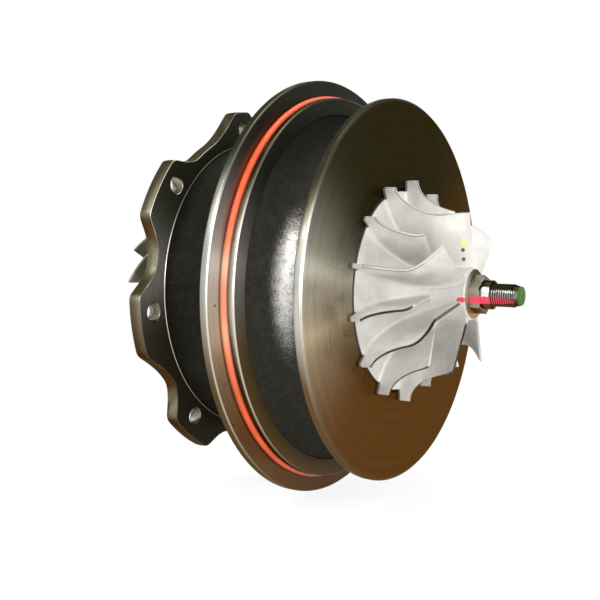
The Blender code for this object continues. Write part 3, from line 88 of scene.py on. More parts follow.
def product(tree, first, *others):
    for other in others:
        first = doMath(tree, "MULTIPLY", first, other)
    return first


def doVector(tree, operation, *values, output=0):
    return addNode(tree, "ShaderNodeVectorMath", values, operation=operation).outputs[output]


def scaleVector(tree, vector, factor):
    return addNode(tree, "ShaderNodeVectorMath", {0: vector, "Scale": factor}, operation="SCALE").outputs[0]


def dot(tree, vector, direction):
    return doVector(tree, "DOT_PRODUCT", vector, direction, output=1)


def lengthOf(tree, vector):
    return doVector(tree, "LENGTH", vector, output=1)


def lobe(tree, vector, direction, power):
    # 1 along a direction, and less away from it
    return doMath(tree, "POWER", doMath(tree, "MAXIMUM", dot(tree, vector, direction), 0.0), power)


def stationOf(tree, place):
    return addNode(tree, "ShaderNodeSeparateXYZ", [place]).outputs[0]


def offAxis(tree, place):
    return doVector(tree, "MULTIPLY", place, (0.0, 1.0, 1.0))


def radiusOf(tree, place):
    return lengthOf(tree, offAxis(tree, place))


def directionOf(tree, place):
    return doVector(tree, "NORMALIZE", offAxis(tree, place))


def remap(tree, value, low, high, newLow=0.0, newHigh=1.0, smooth=True):
    kind = "SMOOTHSTEP" if smooth else "LINEAR"
    values = (value, low, high, newLow, newHigh)
    return addNode(tree, "ShaderNodeMapRange", values, interpolation_type=kind).outputs[0]


def mixColour(tree, factor, first, second, blend="MIX"):
    values = {0: factor, 6: first, 7: second}
    return addNode(tree, "ShaderNodeMix", values, data_type="RGBA", blend_type=blend).outputs[2]


def noise(tree, vector, scale, detail=3.0, roughness=0.5):
    values = {"Vector": vector, "Scale": scale, "Detail": detail, "Roughness": roughness}
    return addNode(tree, "ShaderNodeTexNoise", values).outputs[0]


def noiseAlong(tree, place, scale, detail, roughness=0.5):
    values = {"W": product(tree, place, scale), "Scale": 1.0, "Detail": detail, "Roughness": roughness}
    return addNode(tree, "ShaderNodeTexNoise", values, noise_dimensions="1D").outputs[0]


def newGroup(name, inputs, outputs, kind="ShaderNodeTree"):
    # each input has its starting value, or only the name of its kind
    group = bpy.data.node_groups.new(name, kind)
    kinds = {float: "Float", int: "Int", tuple: "Vector"}
    for direction, sockets in (("INPUT", inputs), ("OUTPUT", outputs)):
        for label, value in sockets.items():
            wanted = "NodeSocket" + kinds.get(type(value), value)
            socket = group.interface.new_socket(name=label, in_out=direction, socket_type=wanted)
            if type(value) in kinds:
                socket.default_value = value
    return group, group.nodes.new("NodeGroupInput").outputs, group.nodes.new("NodeGroupOutput").inputs


def closeGroup(group, result, **values):
    for label, value in values.items():
        group.links.new(value, result[label])
    return group


def makeCastGrain():
    # fine bumps and slow blotches of a painted casting
    inputs = dict(Vector="Vector", Grain=900.0, Blotch=40.0)
    group, given, result = newGroup("castGrain", inputs, dict(Height="Float", Tone="Float"))
    fine = noise(group, given["Vector"], given["Grain"], 4.0, 0.65)
    coarse = noise(group, given["Vector"], product(group, given["Grain"], 0.28), 2.0)
    height = doMath(group, "ADD", fine, product(group, coarse, 0.8))
    slow = noise(group, given["Vector"], given["Blotch"], 3.0, 0.6)
    return closeGroup(group, result, Height=height, Tone=remap(group, slow, 0.35, 0.65))


def makeTurnedLines():
    # rings that a lathe tool leaves, told by the distance from the shaft axis and by the station
    inputs = dict(Vector="Vector", Lines=2500.0, Waver=0.00002)
    group, given, result = newGroup("turnedLines", inputs, dict(Height="Float", Tone="Float"))
    place = given["Vector"]
    along = doMath(group, "ADD", radiusOf(group, place), product(group, stationOf(group, place), 0.7))
    along = doMath(group, "ADD", along, product(group, noise(group, place, 30.0, 1.0), given["Waver"]))
    tone = remap(group, noiseAlong(group, along, 260.0, 2.0), 0.3, 0.7)
    return closeGroup(group, result, Height=noiseAlong(group, along, given["Lines"], 3.0, 0.7), Tone=tone)


def makeSpecks():
    # scattered pits and flecks
    inputs = dict(Vector="Vector", Scale=300.0, Size=0.12, Rarity=0.9)
    group, given, result = newGroup("specks", inputs, dict(Mask="Float"))
    values = {"Vector": given["Vector"], "Scale": given["Scale"]}
    cells = addNode(group, "ShaderNodeTexVoronoi", values).outputs
    near = doMath(group, "LESS_THAN", cells["Distance"], given["Size"])
    chance = addNode(group, "ShaderNodeSeparateColor", [cells["Color"]]).outputs[0]
    rare = doMath(group, "GREATER_THAN", chance, given["Rarity"])
    return closeGroup(group, result, Mask=product(group, near, rare))


# where the painted fan of light and the painted glints lie round the shaft
fanLooks = dict(
    toward=(0.0, -0.998, -0.07), under=(0.0, 0.342, -0.94), down=(0.0, 0.0, -1.0), glintSharp=400.0,
    glints=[((0.0, -0.995, 0.099), 0.65), ((0.0, -0.972, -0.233), 0.42)])


def makeFanSheen():
    # painted reflection: how a turned face takes the light round the shaft: dark above, a pale fan on the
    # left, a brown reflection below, and two thin painted glints
    inputs = dict(
        Vector="Vector", Toward=fanLooks["toward"], Sharp=12.0, Glint=1.0,
        Top="Color", Fan="Color", Warm="Color", Below="Color")
    group, given, result = newGroup("fanSheen", inputs, dict(Colour="Color"))
    around = directionOf(group, given["Vector"])
    lower = remap(group, dot(group, around, fanLooks["under"]), -0.75, 0.3)
    warmth = remap(group, dot(group, around, fanLooks["down"]), -0.1, 0.35)
    fan = lobe(group, around, given["Toward"], given["Sharp"])
    ground = mixColour(group, lower, given["Top"], given["Below"])
    bright = mixColour(group, warmth, given["Fan"], given["Warm"])
    glint = 1.0
    for direction, share in fanLooks["glints"]:
        spark = product(group, lobe(group, around, direction, fanLooks["glintSharp"]), share)
        glint = doMath(group, "MULTIPLY_ADD", spark, given["Glint"], glint)
    return closeGroup(group, result, Colour=scaleVector(group, mixColour(group, fan, ground, bright), glint))


def makeRoomSheen():
    # painted reflection of a room on a round or glossy surface: dark ceiling, bright window on the left,
    # brown ground
    inputs = dict(
        Incoming="Vector", Normal="Vector", Window=(-0.17, -0.979, 0.11), Narrow=0.5, Full=1.0,
        Top="Color", Fan="Color", Below="Color")
    group, given, result = newGroup("roomSheen", inputs, dict(Colour="Color", Mask="Float"))
    away = scaleVector(group, doVector(group, "REFLECT", given["Incoming"], given["Normal"]), -1.0)
    lower = remap(group, dot(group, away, fanLooks["down"]), -0.05, 0.4)
    share = remap(group, dot(group, away, given["Window"]), given["Narrow"], given["Full"], smooth=False)
    window = product(group, share, share)
    ground = mixColour(group, lower, given["Top"], given["Below"])
    return closeGroup(group, result, Colour=mixColour(group, window, ground, given["Fan"]), Mask=window)


def makePaintDab():
    # a dab of marking paint with ragged edges, in an oval round a centre
    inputs = dict(Vector="Vector", Centre="Vector", Reach="Vector", Ragged=0.35)
    group, given, result = newGroup("paintDab", inputs, dict(Mask="Float"))
    apart = doVector(group, "SUBTRACT", given["Vector"], given["Centre"])
    distance = lengthOf(group, doVector(group, "DIVIDE", apart, given["Reach"]))
    rough = doMath(group, "SUBTRACT", noise(group, given["Vector"], 700.0), 0.5)
    distance = doMath(group, "ADD", distance, product(group, rough, given["Ragged"]))
    return closeGroup(group, result, Mask=remap(group, distance, 1.05, 0.9))


castGrain = makeCastGrain()
turnedLines = makeTurnedLines()
specks = makeSpecks()
fanSheen = makeFanSheen()
roomSheen = makeRoomSheen()
paintDab = makePaintDab()


def useGroup(tree, group, **values):
    return addNode(tree, "ShaderNodeGroup", values, node_tree=group).outputs


def useSheen(tree, group, looks, **values):
    # what the looks don't say stays as the group has it
    for item in group.interface.items_tree:
        if item.in_out == "INPUT" and item.name.lower() in looks:
            values[item.name] = looks[item.name.lower()]
    return useGroup(tree, group, **values)


def mirrorRoom(tree, normal, looks):
    incoming = tree.nodes.new("ShaderNodeNewGeometry").outputs["Incoming"]
    return useSheen(tree, roomSheen, looks, Incoming=incoming, Normal=normal)


def turnSheen(tree, place, looks):
    return useSheen(tree, fanSheen, {"warm": looks["fan"], **looks}, Vector=place)["Colour"]


def startMaterial(name, metallic, specular=0.5, coat=0.0):
    material = bpy.data.materials.new(name)
    material.use_nodes = True
    tree = material.node_tree
    shader = tree.nodes["Principled BSDF"].inputs
    values = {
        "Metallic": metallic, "Specular IOR Level": specular, "Coat Weight": coat, "Coat Roughness": 0.15,
        "Specular Tint": (0.5, 0.48, 0.44)}
    for label, value in values.items():
        setSocket(tree, shader[label], value)
    return tree, shader, tree.nodes.new("ShaderNodeTexCoord").outputs["Object"]


def setBump(tree, shader, height, strength, depth):
    values = {"Height": height, "Strength": strength, "Distance": depth}
    normal = addNode(tree, "ShaderNodeBump", values).outputs[0]
    tree.links.new(normal, shader["Normal"])
    return normal


def setLooks(tree, shader, colour, roughness):
    tree.links.new(colour, shader["Base Color"])
    tree.links.new(roughness, shader["Roughness"])


# painted and cast surfaces

# top, fan and below scale the paint's colour as painted shade round the shaft; narrow sets the painted
# highlight's width
paintLooks = {
    "drumPaint": dict(
        dark=(0.0075, 0.0075, 0.0055), pale=(0.0155, 0.015, 0.0115), rough=(0.5, 0.75), grain=620.0,
        specular=0.08, narrow=0.985, top=(0.7, 0.7, 0.6), fan=(1.25, 1.25, 1.2), below=(1.3, 1.25, 1.1)),
    "bellPaint": dict(
        dark=(0.017, 0.0175, 0.0145), pale=(0.032, 0.032, 0.027), rough=(0.42, 0.55), grain=760.0,
        specular=0.035, narrow=0.54, top=(0.25, 0.25, 0.22), fan=(2.0, 1.95, 1.9), below=(1.75, 1.7, 1.45)),
    "castInside": dict(
        dark=(0.03, 0.026, 0.02), pale=(0.085, 0.075, 0.06), rough=(0.5, 0.7), grain=500.0,
        specular=0.4, narrow=0.985, top=white, fan=white, below=white),
}
dustColour = (0.16, 0.15, 0.13)
# colour of the painted highlight on the grain
sparkleColour = (0.84, 0.83, 0.79)


def makePaint(name, looks):
    # black paint over a sand casting with painted shade; where a window would glance off, a painted
    # highlight sparkles
    tree, shader, place = startMaterial(name, 0.0, looks["specular"])
    grain = useGroup(tree, castGrain, Vector=place, Grain=looks["grain"], Blotch=55.0)
    mottle = remap(tree, grain["Height"], 0.75, 1.15, 0.2, 0.8)
    tone = product(tree, mottle, remap(tree, grain["Tone"], 0.0, 1.0, 0.9, 1.0))
    dust = useGroup(tree, specks, Vector=place, Scale=420.0, Size=0.16, Rarity=0.93)["Mask"]
    # painted shade: darker on top, lighter on the left and below
    shade = turnSheen(tree, place, {**looks, "sharp": 2.0, "glint": 0.0})
    colour = doVector(tree, "MULTIPLY", mixColour(tree, tone, looks["dark"], looks["pale"]), shade)
    colour = mixColour(tree, product(tree, dust, 0.2), colour, dustColour)
    normal = setBump(tree, shader, grain["Height"], 0.32, 0.0005)
    # painted highlight: where the mirrored window falls the grain is painted pale and made metallic
    window = dict(window=(-0.17, -0.984, 0.03), narrow=looks["narrow"], top=black, fan=white, below=black)
    glint = mirrorRoom(tree, normal, window)["Mask"]
    sparkle = product(tree, glint, remap(tree, grain["Height"], 0.55, 1.05, 0.45, 1.15))
    tree.links.new(remap(tree, sparkle, 0.0, 0.12), shader["Metallic"])
    rough = remap(tree, grain["Tone"], 0.0, 1.0, *looks["rough"])
    setLooks(tree, shader, mixColour(tree, sparkle, colour, sparkleColour), rough)


for name, looks in paintLooks.items():
    makePaint(name, looks)


# machined iron and steel: flat faces get a painted fan of light, round ones a painted room reflection, inner
# ones stay plain

# top, fan, warm and below are colours of painted reflection; toward, sharp, glint, window and narrow place
# and shape it; base and other are the metal's own colours
metalDefaults = dict(metallic=1.0, rough=0.3, lines=1500.0, bump=0.2, bands=0.15)
metalLooks = {
    "flangeFace": dict(
        top=(0.013, 0.014, 0.007), fan=(0.55, 0.525, 0.49), warm=(0.56, 0.47, 0.32),
        below=(0.15, 0.07, 0.024), toward=(0.0, -1.0, -0.017), sharp=14.0, glint=0.6, rough=0.36,
        lines=1800.0, bump=0.25, bands=0.1, metallic=0.3, glow=(0.27, 0.05, 0.03),
        pits=(0.86, (0.015, 0.012, 0.01))),
    "lugFace": dict(
        top=(0.028, 0.031, 0.017), fan=(0.32, 0.315, 0.28), warm=(0.12, 0.115, 0.09),
        below=(0.048, 0.044, 0.025), toward=(0.0, -0.999, 0.035), sharp=27.0, glint=0.0, rough=0.42,
        lines=900.0, bump=0.3, bands=0.1, metallic=0.25),
    "footFace": dict(
        top=(0.016, 0.018, 0.009), fan=(0.22, 0.2, 0.195), warm=(0.13, 0.108, 0.06),
        below=(0.13, 0.076, 0.028), toward=(0.0, -1.0, 0.0), sharp=18.0, glint=0.5, rough=0.42,
        lines=1400.0, bump=0.3, bands=0.1, metallic=0.3),
    "discFace": dict(
        top=(0.029, 0.025, 0.0135), fan=(0.46, 0.44, 0.36), warm=(0.46, 0.36, 0.225),
        below=(0.128, 0.056, 0.0185), sharp=12.0, lines=2600.0, bands=0.12,
        pits=(0.94, (0.42, 0.36, 0.27))),
    "noseFace": dict(
        top=(0.06, 0.056, 0.024), fan=(0.8, 0.82, 0.74), warm=(0.7, 0.6, 0.48), below=(0.5, 0.3, 0.17),
        toward=(0.0, -0.99, 0.139), sharp=3.0, glint=0.0, lines=2600.0, bump=0.1, bands=0.1, metallic=0.6),
    "brightEdge": dict(
        top=(0.065, 0.062, 0.042), fan=(0.8, 0.78, 0.72), warm=(0.68, 0.59, 0.46),
        below=(0.16, 0.095, 0.045), toward=(0.0, -0.985, -0.174), sharp=6.0, glint=0.3, rough=0.25,
        bump=0.1),
    "discLine": dict(
        top=(0.05, 0.047, 0.03), fan=(0.84, 0.82, 0.76), warm=(0.7, 0.62, 0.5), below=(0.14, 0.085, 0.04),
        toward=(0.0, -0.999, -0.035), sharp=14.0, glint=0.3, rough=0.25, bump=0.1),
    "lugLine": dict(
        top=(0.16, 0.156, 0.115), fan=(0.6, 0.58, 0.52), warm=(0.3, 0.25, 0.18), below=(0.12, 0.08, 0.04),
        toward=(0.0, -0.906, 0.423), sharp=3.0, glint=0.0, bands=0.45),
    "flangeRim": dict(
        top=(0.042, 0.041, 0.025), fan=(0.66, 0.66, 0.6), below=(0.13, 0.078, 0.034),
        window=(-0.17, -0.969, 0.18), narrow=0.3),
    "landRim": dict(
        top=(0.09, 0.07, 0.042), fan=(1.0, 0.98, 0.94), below=(0.115, 0.062, 0.026),
        window=(-0.17, -0.978, -0.12), narrow=0.58),
    "discRim": dict(
        top=(0.045, 0.042, 0.024), fan=(0.82, 0.82, 0.76), below=(0.155, 0.088, 0.036),
        window=(-0.17, -0.978, -0.12), narrow=0.52, lines=1600.0),
    "lugEdge": dict(
        top=(0.066, 0.062, 0.035), fan=(0.34, 0.32, 0.215), below=(0.085, 0.04, 0.012),
        window=(-0.17, -0.969, 0.17), narrow=0.3, rough=0.4, lines=420.0, bump=0.4, bands=0.3),
    "nutSteel": dict(
        top=(0.27, 0.252, 0.2), fan=(0.42, 0.43, 0.35), below=(0.21, 0.105, 0.04),
        window=(-0.17, -0.969, 0.17), narrow=0.0, full=0.9, rough=0.2, bump=0.1, streak=True),
    "shaftSteel": dict(
        top=(0.024, 0.024, 0.013), fan=(1.0, 1.0, 0.97), below=(0.15, 0.066, 0.018),
        window=(-0.17, -0.969, 0.17), narrow=0.42, full=0.8, rough=0.2, lines=2500.0, bump=0.1,
        streak=True, green=True),
    "hiddenSteel": dict(
        base=(0.17, 0.165, 0.15), other=(0.26, 0.25, 0.23), rough=0.35, lines=2500.0, bump=0.15),
    "boreSteel": dict(base=(0.12, 0.105, 0.07), other=(0.4, 0.39, 0.33), lines=900.0),
    "shieldSteel": dict(base=(0.22, 0.19, 0.155), other=(0.34, 0.3, 0.25), rough=0.36, lines=700.0),
    "sealIron": dict(base=(0.1, 0.09, 0.075), other=(0.2, 0.18, 0.155), rough=0.4, lines=2000.0),
    "bronze": dict(base=(0.43, 0.25, 0.09), other=(0.6, 0.38, 0.16), lines=2600.0, bump=0.15),
}
ringReflectionLooks = dict(radii=(0.1165, 0.1115), toward=(0.0, -0.891, 0.454), sharp=16.0, share=0.75)
streakLooks = dict(
    centre=(0.102, -0.009, -0.003), reach=(0.0165, 0.012, 0.0021), pink=(0.8, 0.085, 0.14),
    crest=(0.00588, 0.00622), groove=(0.02, 0.015, 0.008), greenFrom=(0.118, 0.1184),
    darkGreen=(0.02, 0.085, 0.006), green=(0.085, 0.21, 0.02))


def addRingReflection(tree, place, colour, glow):
    # painted reflection of the red ring, where the face lies close to it
    near = remap(tree, radiusOf(tree, place), *ringReflectionLooks["radii"])
    side = lobe(tree, directionOf(tree, place), ringReflectionLooks["toward"], ringReflectionLooks["sharp"])
    return mixColour(tree, product(tree, near, side, ringReflectionLooks["share"]), colour, glow)


def addMarking(tree, shader, place, colour, rough, hasGreenEnd):
    # the pink marking streak along the nut and stud, painted shade in the thread's grooves, and green paint
    # on the stud's end
    centre, reach = streakLooks["centre"], streakLooks["reach"]
    painted = useGroup(tree, paintDab, Vector=place, Centre=centre, Reach=reach, Ragged=0.8)["Mask"]
    colour = mixColour(tree, painted, colour, streakLooks["pink"])
    if hasGreenEnd:
        # painted shade in the thread's grooves, below the crests
        crest = remap(tree, radiusOf(tree, place), *streakLooks["crest"])
        colour = mixColour(tree, crest, mixColour(tree, 0.75, colour, streakLooks["groove"]), colour)
        ragged = product(tree, noise(tree, place, 500.0), 0.0012)
        station = doMath(tree, "ADD", stationOf(tree, place), ragged)
        end = remap(tree, station, *streakLooks["greenFrom"])
        green = mixColour(tree, noise(tree, place, 350.0), streakLooks["darkGreen"], streakLooks["green"])
        colour = mixColour(tree, end, colour, green)
        painted = doMath(tree, "MAXIMUM", painted, end)
    tree.links.new(doMath(tree, "SUBTRACT", 1.0, painted), shader["Metallic"])
    return colour, doMath(tree, "ADD", rough, product(tree, painted, 0.15))


def makeMetal(name, looks):
    # turned metal: its colour wanders from ring to ring, with small stains; outer faces carry painted
    # reflections
    tree, shader, place = startMaterial(name, looks["metallic"], 0.1)
    rings = useGroup(tree, turnedLines, Vector=place, Lines=looks["lines"])
    stain = useGroup(tree, castGrain, Vector=place, Grain=300.0, Blotch=45.0)["Tone"]
    tone = product(tree, rings["Tone"], remap(tree, stain, 0.0, 1.0, 0.55, 1.0))
    normal = setBump(tree, shader, rings["Height"], looks["bump"], 0.0001)
    if "base" in looks:
        colour = mixColour(tree, tone, looks["base"], looks["other"])
    else:
        # painted reflection: a fan of light on flat faces, the mirrored room on round ones
        isFlat = "sharp" in looks
        sheen = turnSheen(tree, place, looks) if isFlat else mirrorRoom(tree, normal, looks)["Colour"]
        colour = mixColour(tree, tone, mixColour(tree, looks["bands"], sheen, black), sheen)
    rough = remap(tree, stain, 0.0, 1.0, looks["rough"] - 0.05, looks["rough"] + 0.08)
    # painted reflection of the red ring on the flange face
    if "glow" in looks:
        colour = addRingReflection(tree, place, colour, looks["glow"])
    if "pits" in looks:
        rarity, pit = looks["pits"]
        marks = useGroup(tree, specks, Vector=place, Scale=140.0, Size=0.1, Rarity=rarity)["Mask"]
        colour = mixColour(tree, product(tree, marks, 0.8), colour, pit)
    if "streak" in looks:
        colour, rough = addMarking(tree, shader, place, colour, rough, "green" in looks)
    setLooks(tree, shader, colour, rough)


for name, looks in metalLooks.items():
    makeMetal(name, {**metalDefaults, **looks})


rubberLooks = {
    "orangeRubber": dict(first=(0.88, 0.125, 0.034), second=(0.62, 0.06, 0.018), rough=0.38),
    "blackRubber": dict(first=(0.012, 0.012, 0.012), second=(0.03, 0.03, 0.03), rough=0.5),
}
# painted highlight on the ring: a pale lobe on the left with two glints
rubberHighlight = dict(sharp=16.0, glint=2.6, top=black, fan=(0.0, 0.18, 0.13), below=black)


def makeRubber(name, looks):
    tree, shader, place = startMaterial(name, 0.0, coat=0.25)
    grain = useGroup(tree, castGrain, Vector=place, Grain=900.0, Blotch=60.0)
    colour = mixColour(tree, product(tree, grain["Tone"], 0.5), looks["first"], looks["second"])
    # painted highlight added to the rubber's own colour
    colour = mixColour(tree, 1.0, colour, turnSheen(tree, place, rubberHighlight), "ADD")
    rough = remap(tree, grain["Height"], 0.6, 1.2, looks["rough"] - 0.06, looks["rough"] + 0.06)
    setLooks(tree, shader, colour, rough)
    setBump(tree, shader, grain["Height"], 0.12, 0.0002)


for name, looks in rubberLooks.items():
    makeRubber(name, looks)


# pale and shade are the casting's own tones, the marks real paint; the other colours are painted shade and
# shadow
wheelLooks = dict(
    pale=(0.9, 0.9, 0.88), shade=(0.72, 0.72, 0.695), hollowShade=(0.4, 0.4, 0.37), crownShade=(0.5, 0.5, 0.48),
    shadowLine=(0.03, 0.026, 0.018), tanShadowEdge=(0.5, 0.4, 0.28), shadeLine=(0.2, 0.195, 0.17),
    crownCentre=(0.0877, 0.063), crownReach=(0.033, 0.0182), deepFrom=(1.15, 1.75),
    crownFrom=(1.022, 1.018), lower=(0.0, -0.3, -0.954), upper=(0.0, -0.3, 0.954),
    rimRadii=(0.0566, 0.0569), rimStations=(0.0486, 0.0484), leadSlope=0.082,
    leadStations=(0.0908, 0.0911), leadRadii=(0.0165, 0.0185), leadSide=(0.0, -0.643, -0.766),
    marks=[
        ((0.08604, -0.00579, 0.02787), (0.0013, 0.0017, 0.0017), (0.9, 0.8, 0.1)),
        ((0.08569, -0.00549, 0.02393), (0.001, 0.0013, 0.00105), (0.16, 0.075, 0.045)),
        ((0.08597, -0.00464, 0.01892), (0.001, 0.0013, 0.00105), (0.16, 0.075, 0.045)),
        ((0.0895, -0.0142, -0.0033), (0.0026, 0.002, 0.0015), (0.8, 0.1, 0.15)),
    ])


def makeWheelAluminium():
    # fine blasted casting, nearly white; painted shade in the hollows, painted shadow between tan edges on
    # lower crowns
    looks = wheelLooks
    tree, shader, place = startMaterial("wheelAluminium", 0.35)
    grain = useGroup(tree, castGrain, Vector=place, Grain=1400.0, Blotch=60.0)
    colour = mixColour(tree, grain["Tone"], looks["shade"], looks["pale"])
    station, radius = stationOf(tree, place), radiusOf(tree, place)
    squares = []
    for measure, middle, reach in zip((station, radius), looks["crownCentre"], looks["crownReach"]):
        share = doMath(tree, "DIVIDE", doMath(tree, "SUBTRACT", middle, measure), reach)
        squares.append(product(tree, share, share))
    depth = doMath(tree, "SQRT", doMath(tree, "ADD", *squares))
    normal = tree.nodes.new("ShaderNodeNewGeometry").outputs["Normal"]
    around = doVector(tree, "CROSS_PRODUCT", (1.0, 0.0, 0.0), offAxis(tree, place))
    side = doMath(tree, "ABSOLUTE", dot(tree, normal, doVector(tree, "NORMALIZE", around)))
    outward = directionOf(tree, place)
    lower = remap(tree, dot(tree, outward, looks["lower"]), 0.1, 0.5)
    upper = remap(tree, dot(tree, outward, looks["upper"]), 0.1, 0.5)
    # painted shade, deeper down between the blades
    deeper = mixColour(tree, 0.35, colour, looks["hollowShade"])
    colour = mixColour(tree, remap(tree, depth, *looks["deepFrom"]), colour, deeper)
    # painted shadow on the lower blades' crowns with tan edges; painted shade and thin dark lines on the
    # upper ones
    crown = remap(tree, depth, *looks["crownFrom"])
    middle = product(tree, crown, remap(tree, side, 0.5, 0.4))
    outline = product(tree, crown, remap(tree, side, 0.4, 0.5), remap(tree, side, 0.95, 0.9))
    for part, half, line in (
            (middle, lower, "shadowLine"), (outline, lower, "tanShadowEdge"),
            (outline, upper, "shadeLine"), (middle, upper, "crownShade")):
        colour = mixColour(tree, product(tree, part, half), colour, looks[line])
    # a thin painted shade line at the back disc's edge
    behind = remap(tree, station, *looks["rimStations"])
    back = product(tree, remap(tree, radius, *looks["rimRadii"]), behind)
    colour = mixColour(tree, back, colour, looks["shadeLine"])
    # painted shade on the leading edges of the lower blades
    ahead = doMath(tree, "MULTIPLY_ADD", radius, looks["leadSlope"], station)
    leading = product(
        tree, remap(tree, ahead, *looks["leadStations"]), remap(tree, radius, *looks["leadRadii"]), lower,
        remap(tree, dot(tree, outward, looks["leadSide"]), 0.55, 0.95, 0.25, 1.0))
    colour = mixColour(tree, leading, colour, looks["shadowLine"])
    for centre, reach, paint in looks["marks"]:
        mark = useGroup(tree, paintDab, Vector=place, Centre=centre, Reach=reach, Ragged=0.2)["Mask"]
        colour = mixColour(tree, mark, colour, paint)
    setLooks(tree, shader, colour, remap(tree, grain["Tone"], 0.0, 1.0, 0.44, 0.56))
    setBump(tree, shader, grain["Height"], 0.16, 0.00025)


def makeTurbineAlloy():
    tree, shader, place = startMaterial("turbineAlloy", 0.55)
    grain = useGroup(tree, castGrain, Vector=place, Grain=700.0, Blotch=60.0)
    colour = mixColour(tree, grain["Tone"], (0.2, 0.18, 0.13), (0.36, 0.335, 0.26))
    setLooks(tree, shader, colour, remap(tree, grain["Tone"], 0.0, 1.0, 0.36, 0.5))
    setBump(tree, shader, grain["Height"], 0.3, 0.0003)


makeWheelAluminium()
makeTurbineAlloy()
print("materials made")


# meshes

def makeObject(name, data):
    thing = bpy.data.objects.new(name, data)
    bpy.context.scene.collection.objects.link(thing)
    return thing


def fromBmesh(name, built, materials="", weld=True):
    # materials are told by their names, with spaces between them
    if weld:
        bmesh.ops.remove_doubles(built, verts=built.verts, dist=0.000001)
        bmesh.ops.recalc_face_normals(built, faces=built.faces)
    mesh = bpy.data.meshes.new(name)
    built.to_mesh(mesh)
    built.free()
    for material in materials.split():
        mesh.materials.append(bpy.data.materials[material])
    return makeObject(name, mesh)


def smoothRound(thing, angle=32.0):
    thing.data.shade_smooth()
    thing.data.set_sharp_from_angle(angle=math.radians(angle))
    return thing


def bakeModifiers(thing):
    graph = bpy.context.evaluated_depsgraph_get()
    mesh = bpy.data.meshes.new_from_object(thing.evaluated_get(graph))
    thing.modifiers.clear()
    thing.data = mesh
    return thing


def softened(points, closed):
    # a point has a station, a radius and, where they aren't 0, a rounding and a finish; rounded corners
    # become short arcs
    points = [(*point, *(0.0, 0)[len(point) - 2:]) for point in points]
    result = []
    count = len(points)
    for index, (station, radius, rounding, finish) in enumerate(points):
        isEnd = not closed and index in (0, count - 1)
        if rounding == 0.0 or isEnd or callable(radius):
            result.append((station, radius, finish))
            continue
        here = Vector((station, radius))
        before = Vector(points[index - 1][:2]) - here
        after = Vector(points[(index + 1) % count][:2]) - here
        reach = min(rounding, before.length * 0.48, after.length * 0.48)
        start = here + before.normalized() * reach
        end = here + after.normalized() * reach
        for step in range(5):
            share = step / 4.0
            place = start.lerp(here, share).lerp(here.lerp(end, share), share)
            result.append((place.x, place.y, finish))
    return result


def turned(name, points, steps, materials="", closed=False):
    # a profile in mm, turned about the shaft; a radius may follow the angle
    profile = softened(points, closed)
    built = bmesh.new()
    rings = []
    for station, radius, finish in profile:
        if not callable(radius) and radius < 0.001:
            rings.append([built.verts.new((station * mm, 0.0, 0.0))])
            continue
        ring = []
        for step in range(steps):
            angle = fullTurn * step / steps
            reach = (radius(angle) if callable(radius) else radius) * mm
            ring.append(built.verts.new((station * mm, reach * math.cos(angle), reach * math.sin(angle))))
        rings.append(ring)
    pairs = list(zip(range(len(rings)), range(1, len(rings))))
    if closed:
        pairs.append((len(rings) - 1, 0))
    for first, second in pairs:
        near, far = rings[first], rings[second]
        for step in range(steps):
            after = (step + 1) % steps
            if len(near) == 1:
                corners = (near[0], far[step], far[after])
            elif len(far) == 1:
                corners = (near[step], far[0], near[after])
            else:
                corners = (near[step], far[step], far[after], near[after])
            built.faces.new(corners).material_index = profile[first][2]
    return fromBmesh(name, built, materials)


def arcPoints(station, radius, length, height, start, end, count, finish=0):
    angles = [math.radians(start + (end - start) * index / count) for index in range(count + 1)]
    return [(station + length * math.cos(a), radius + height * math.sin(a), 0.0, finish) for a in angles]


def polar(station, radius, degrees):
    angle = math.radians(degrees)
    return Vector((station * mm, radius * mm * math.cos(angle), radius * mm * math.sin(angle)))


def addRod(built, start, end, radius, steps=32):
    along = end - start
    turn = along.to_track_quat("Z", "Y").to_matrix().to_4x4()
    bmesh.ops.create_cone(
        built, cap_ends=True, segments=steps, radius1=radius * mm, radius2=radius * mm,
        depth=along.length, matrix=Matrix.Translation((start + end) / 2.0) @ turn)


def combine(thing, tool, operation="DIFFERENCE"):
    change = thing.modifiers.new(tool.name, "BOOLEAN")
    change.object = tool
    change.operation = operation
    change.solver = "EXACT"
    change.material_mode = "TRANSFER"
    bakeModifiers(thing)
    bpy.data.objects.remove(tool)
    return thing


def drill(thing, name, rods):
    built = bmesh.new()
    for start, end, radius in rods:
        addRod(built, start, end, radius)
    return combine(thing, fromBmesh(name, built, "sealIron"))


def holesRound(count, start, end, circle, radius):
    angles = [90.0 + 360.0 * index / count for index in range(count)]
    return [(polar(start, circle, angle), polar(end, circle, angle), radius) for angle in angles]


def joinMeshes(name, things):
    built = bmesh.new()
    materials = []
    for thing in things:
        start = len(built.faces)
        built.from_mesh(thing.data)
        built.faces.ensure_lookup_table()
        for face in built.faces[start:]:
            face.material_index += len(materials)
        materials += list(thing.data.materials)
        bpy.data.objects.remove(thing)
    joined = fromBmesh(name, built, weld=False)
    for material in materials:
        joined.data.materials.append(material)
    return joined


# geometry nodes

def dressGeometry(tree, result, geometry, material):
    real = addNode(tree, "GeometryNodeRealizeInstances", [geometry])
    dressed = addNode(tree, "GeometryNodeSetMaterial", {"Geometry": real.outputs[0], "Material": material})
    return closeGroup(tree, result, Geometry=dressed.outputs[0])


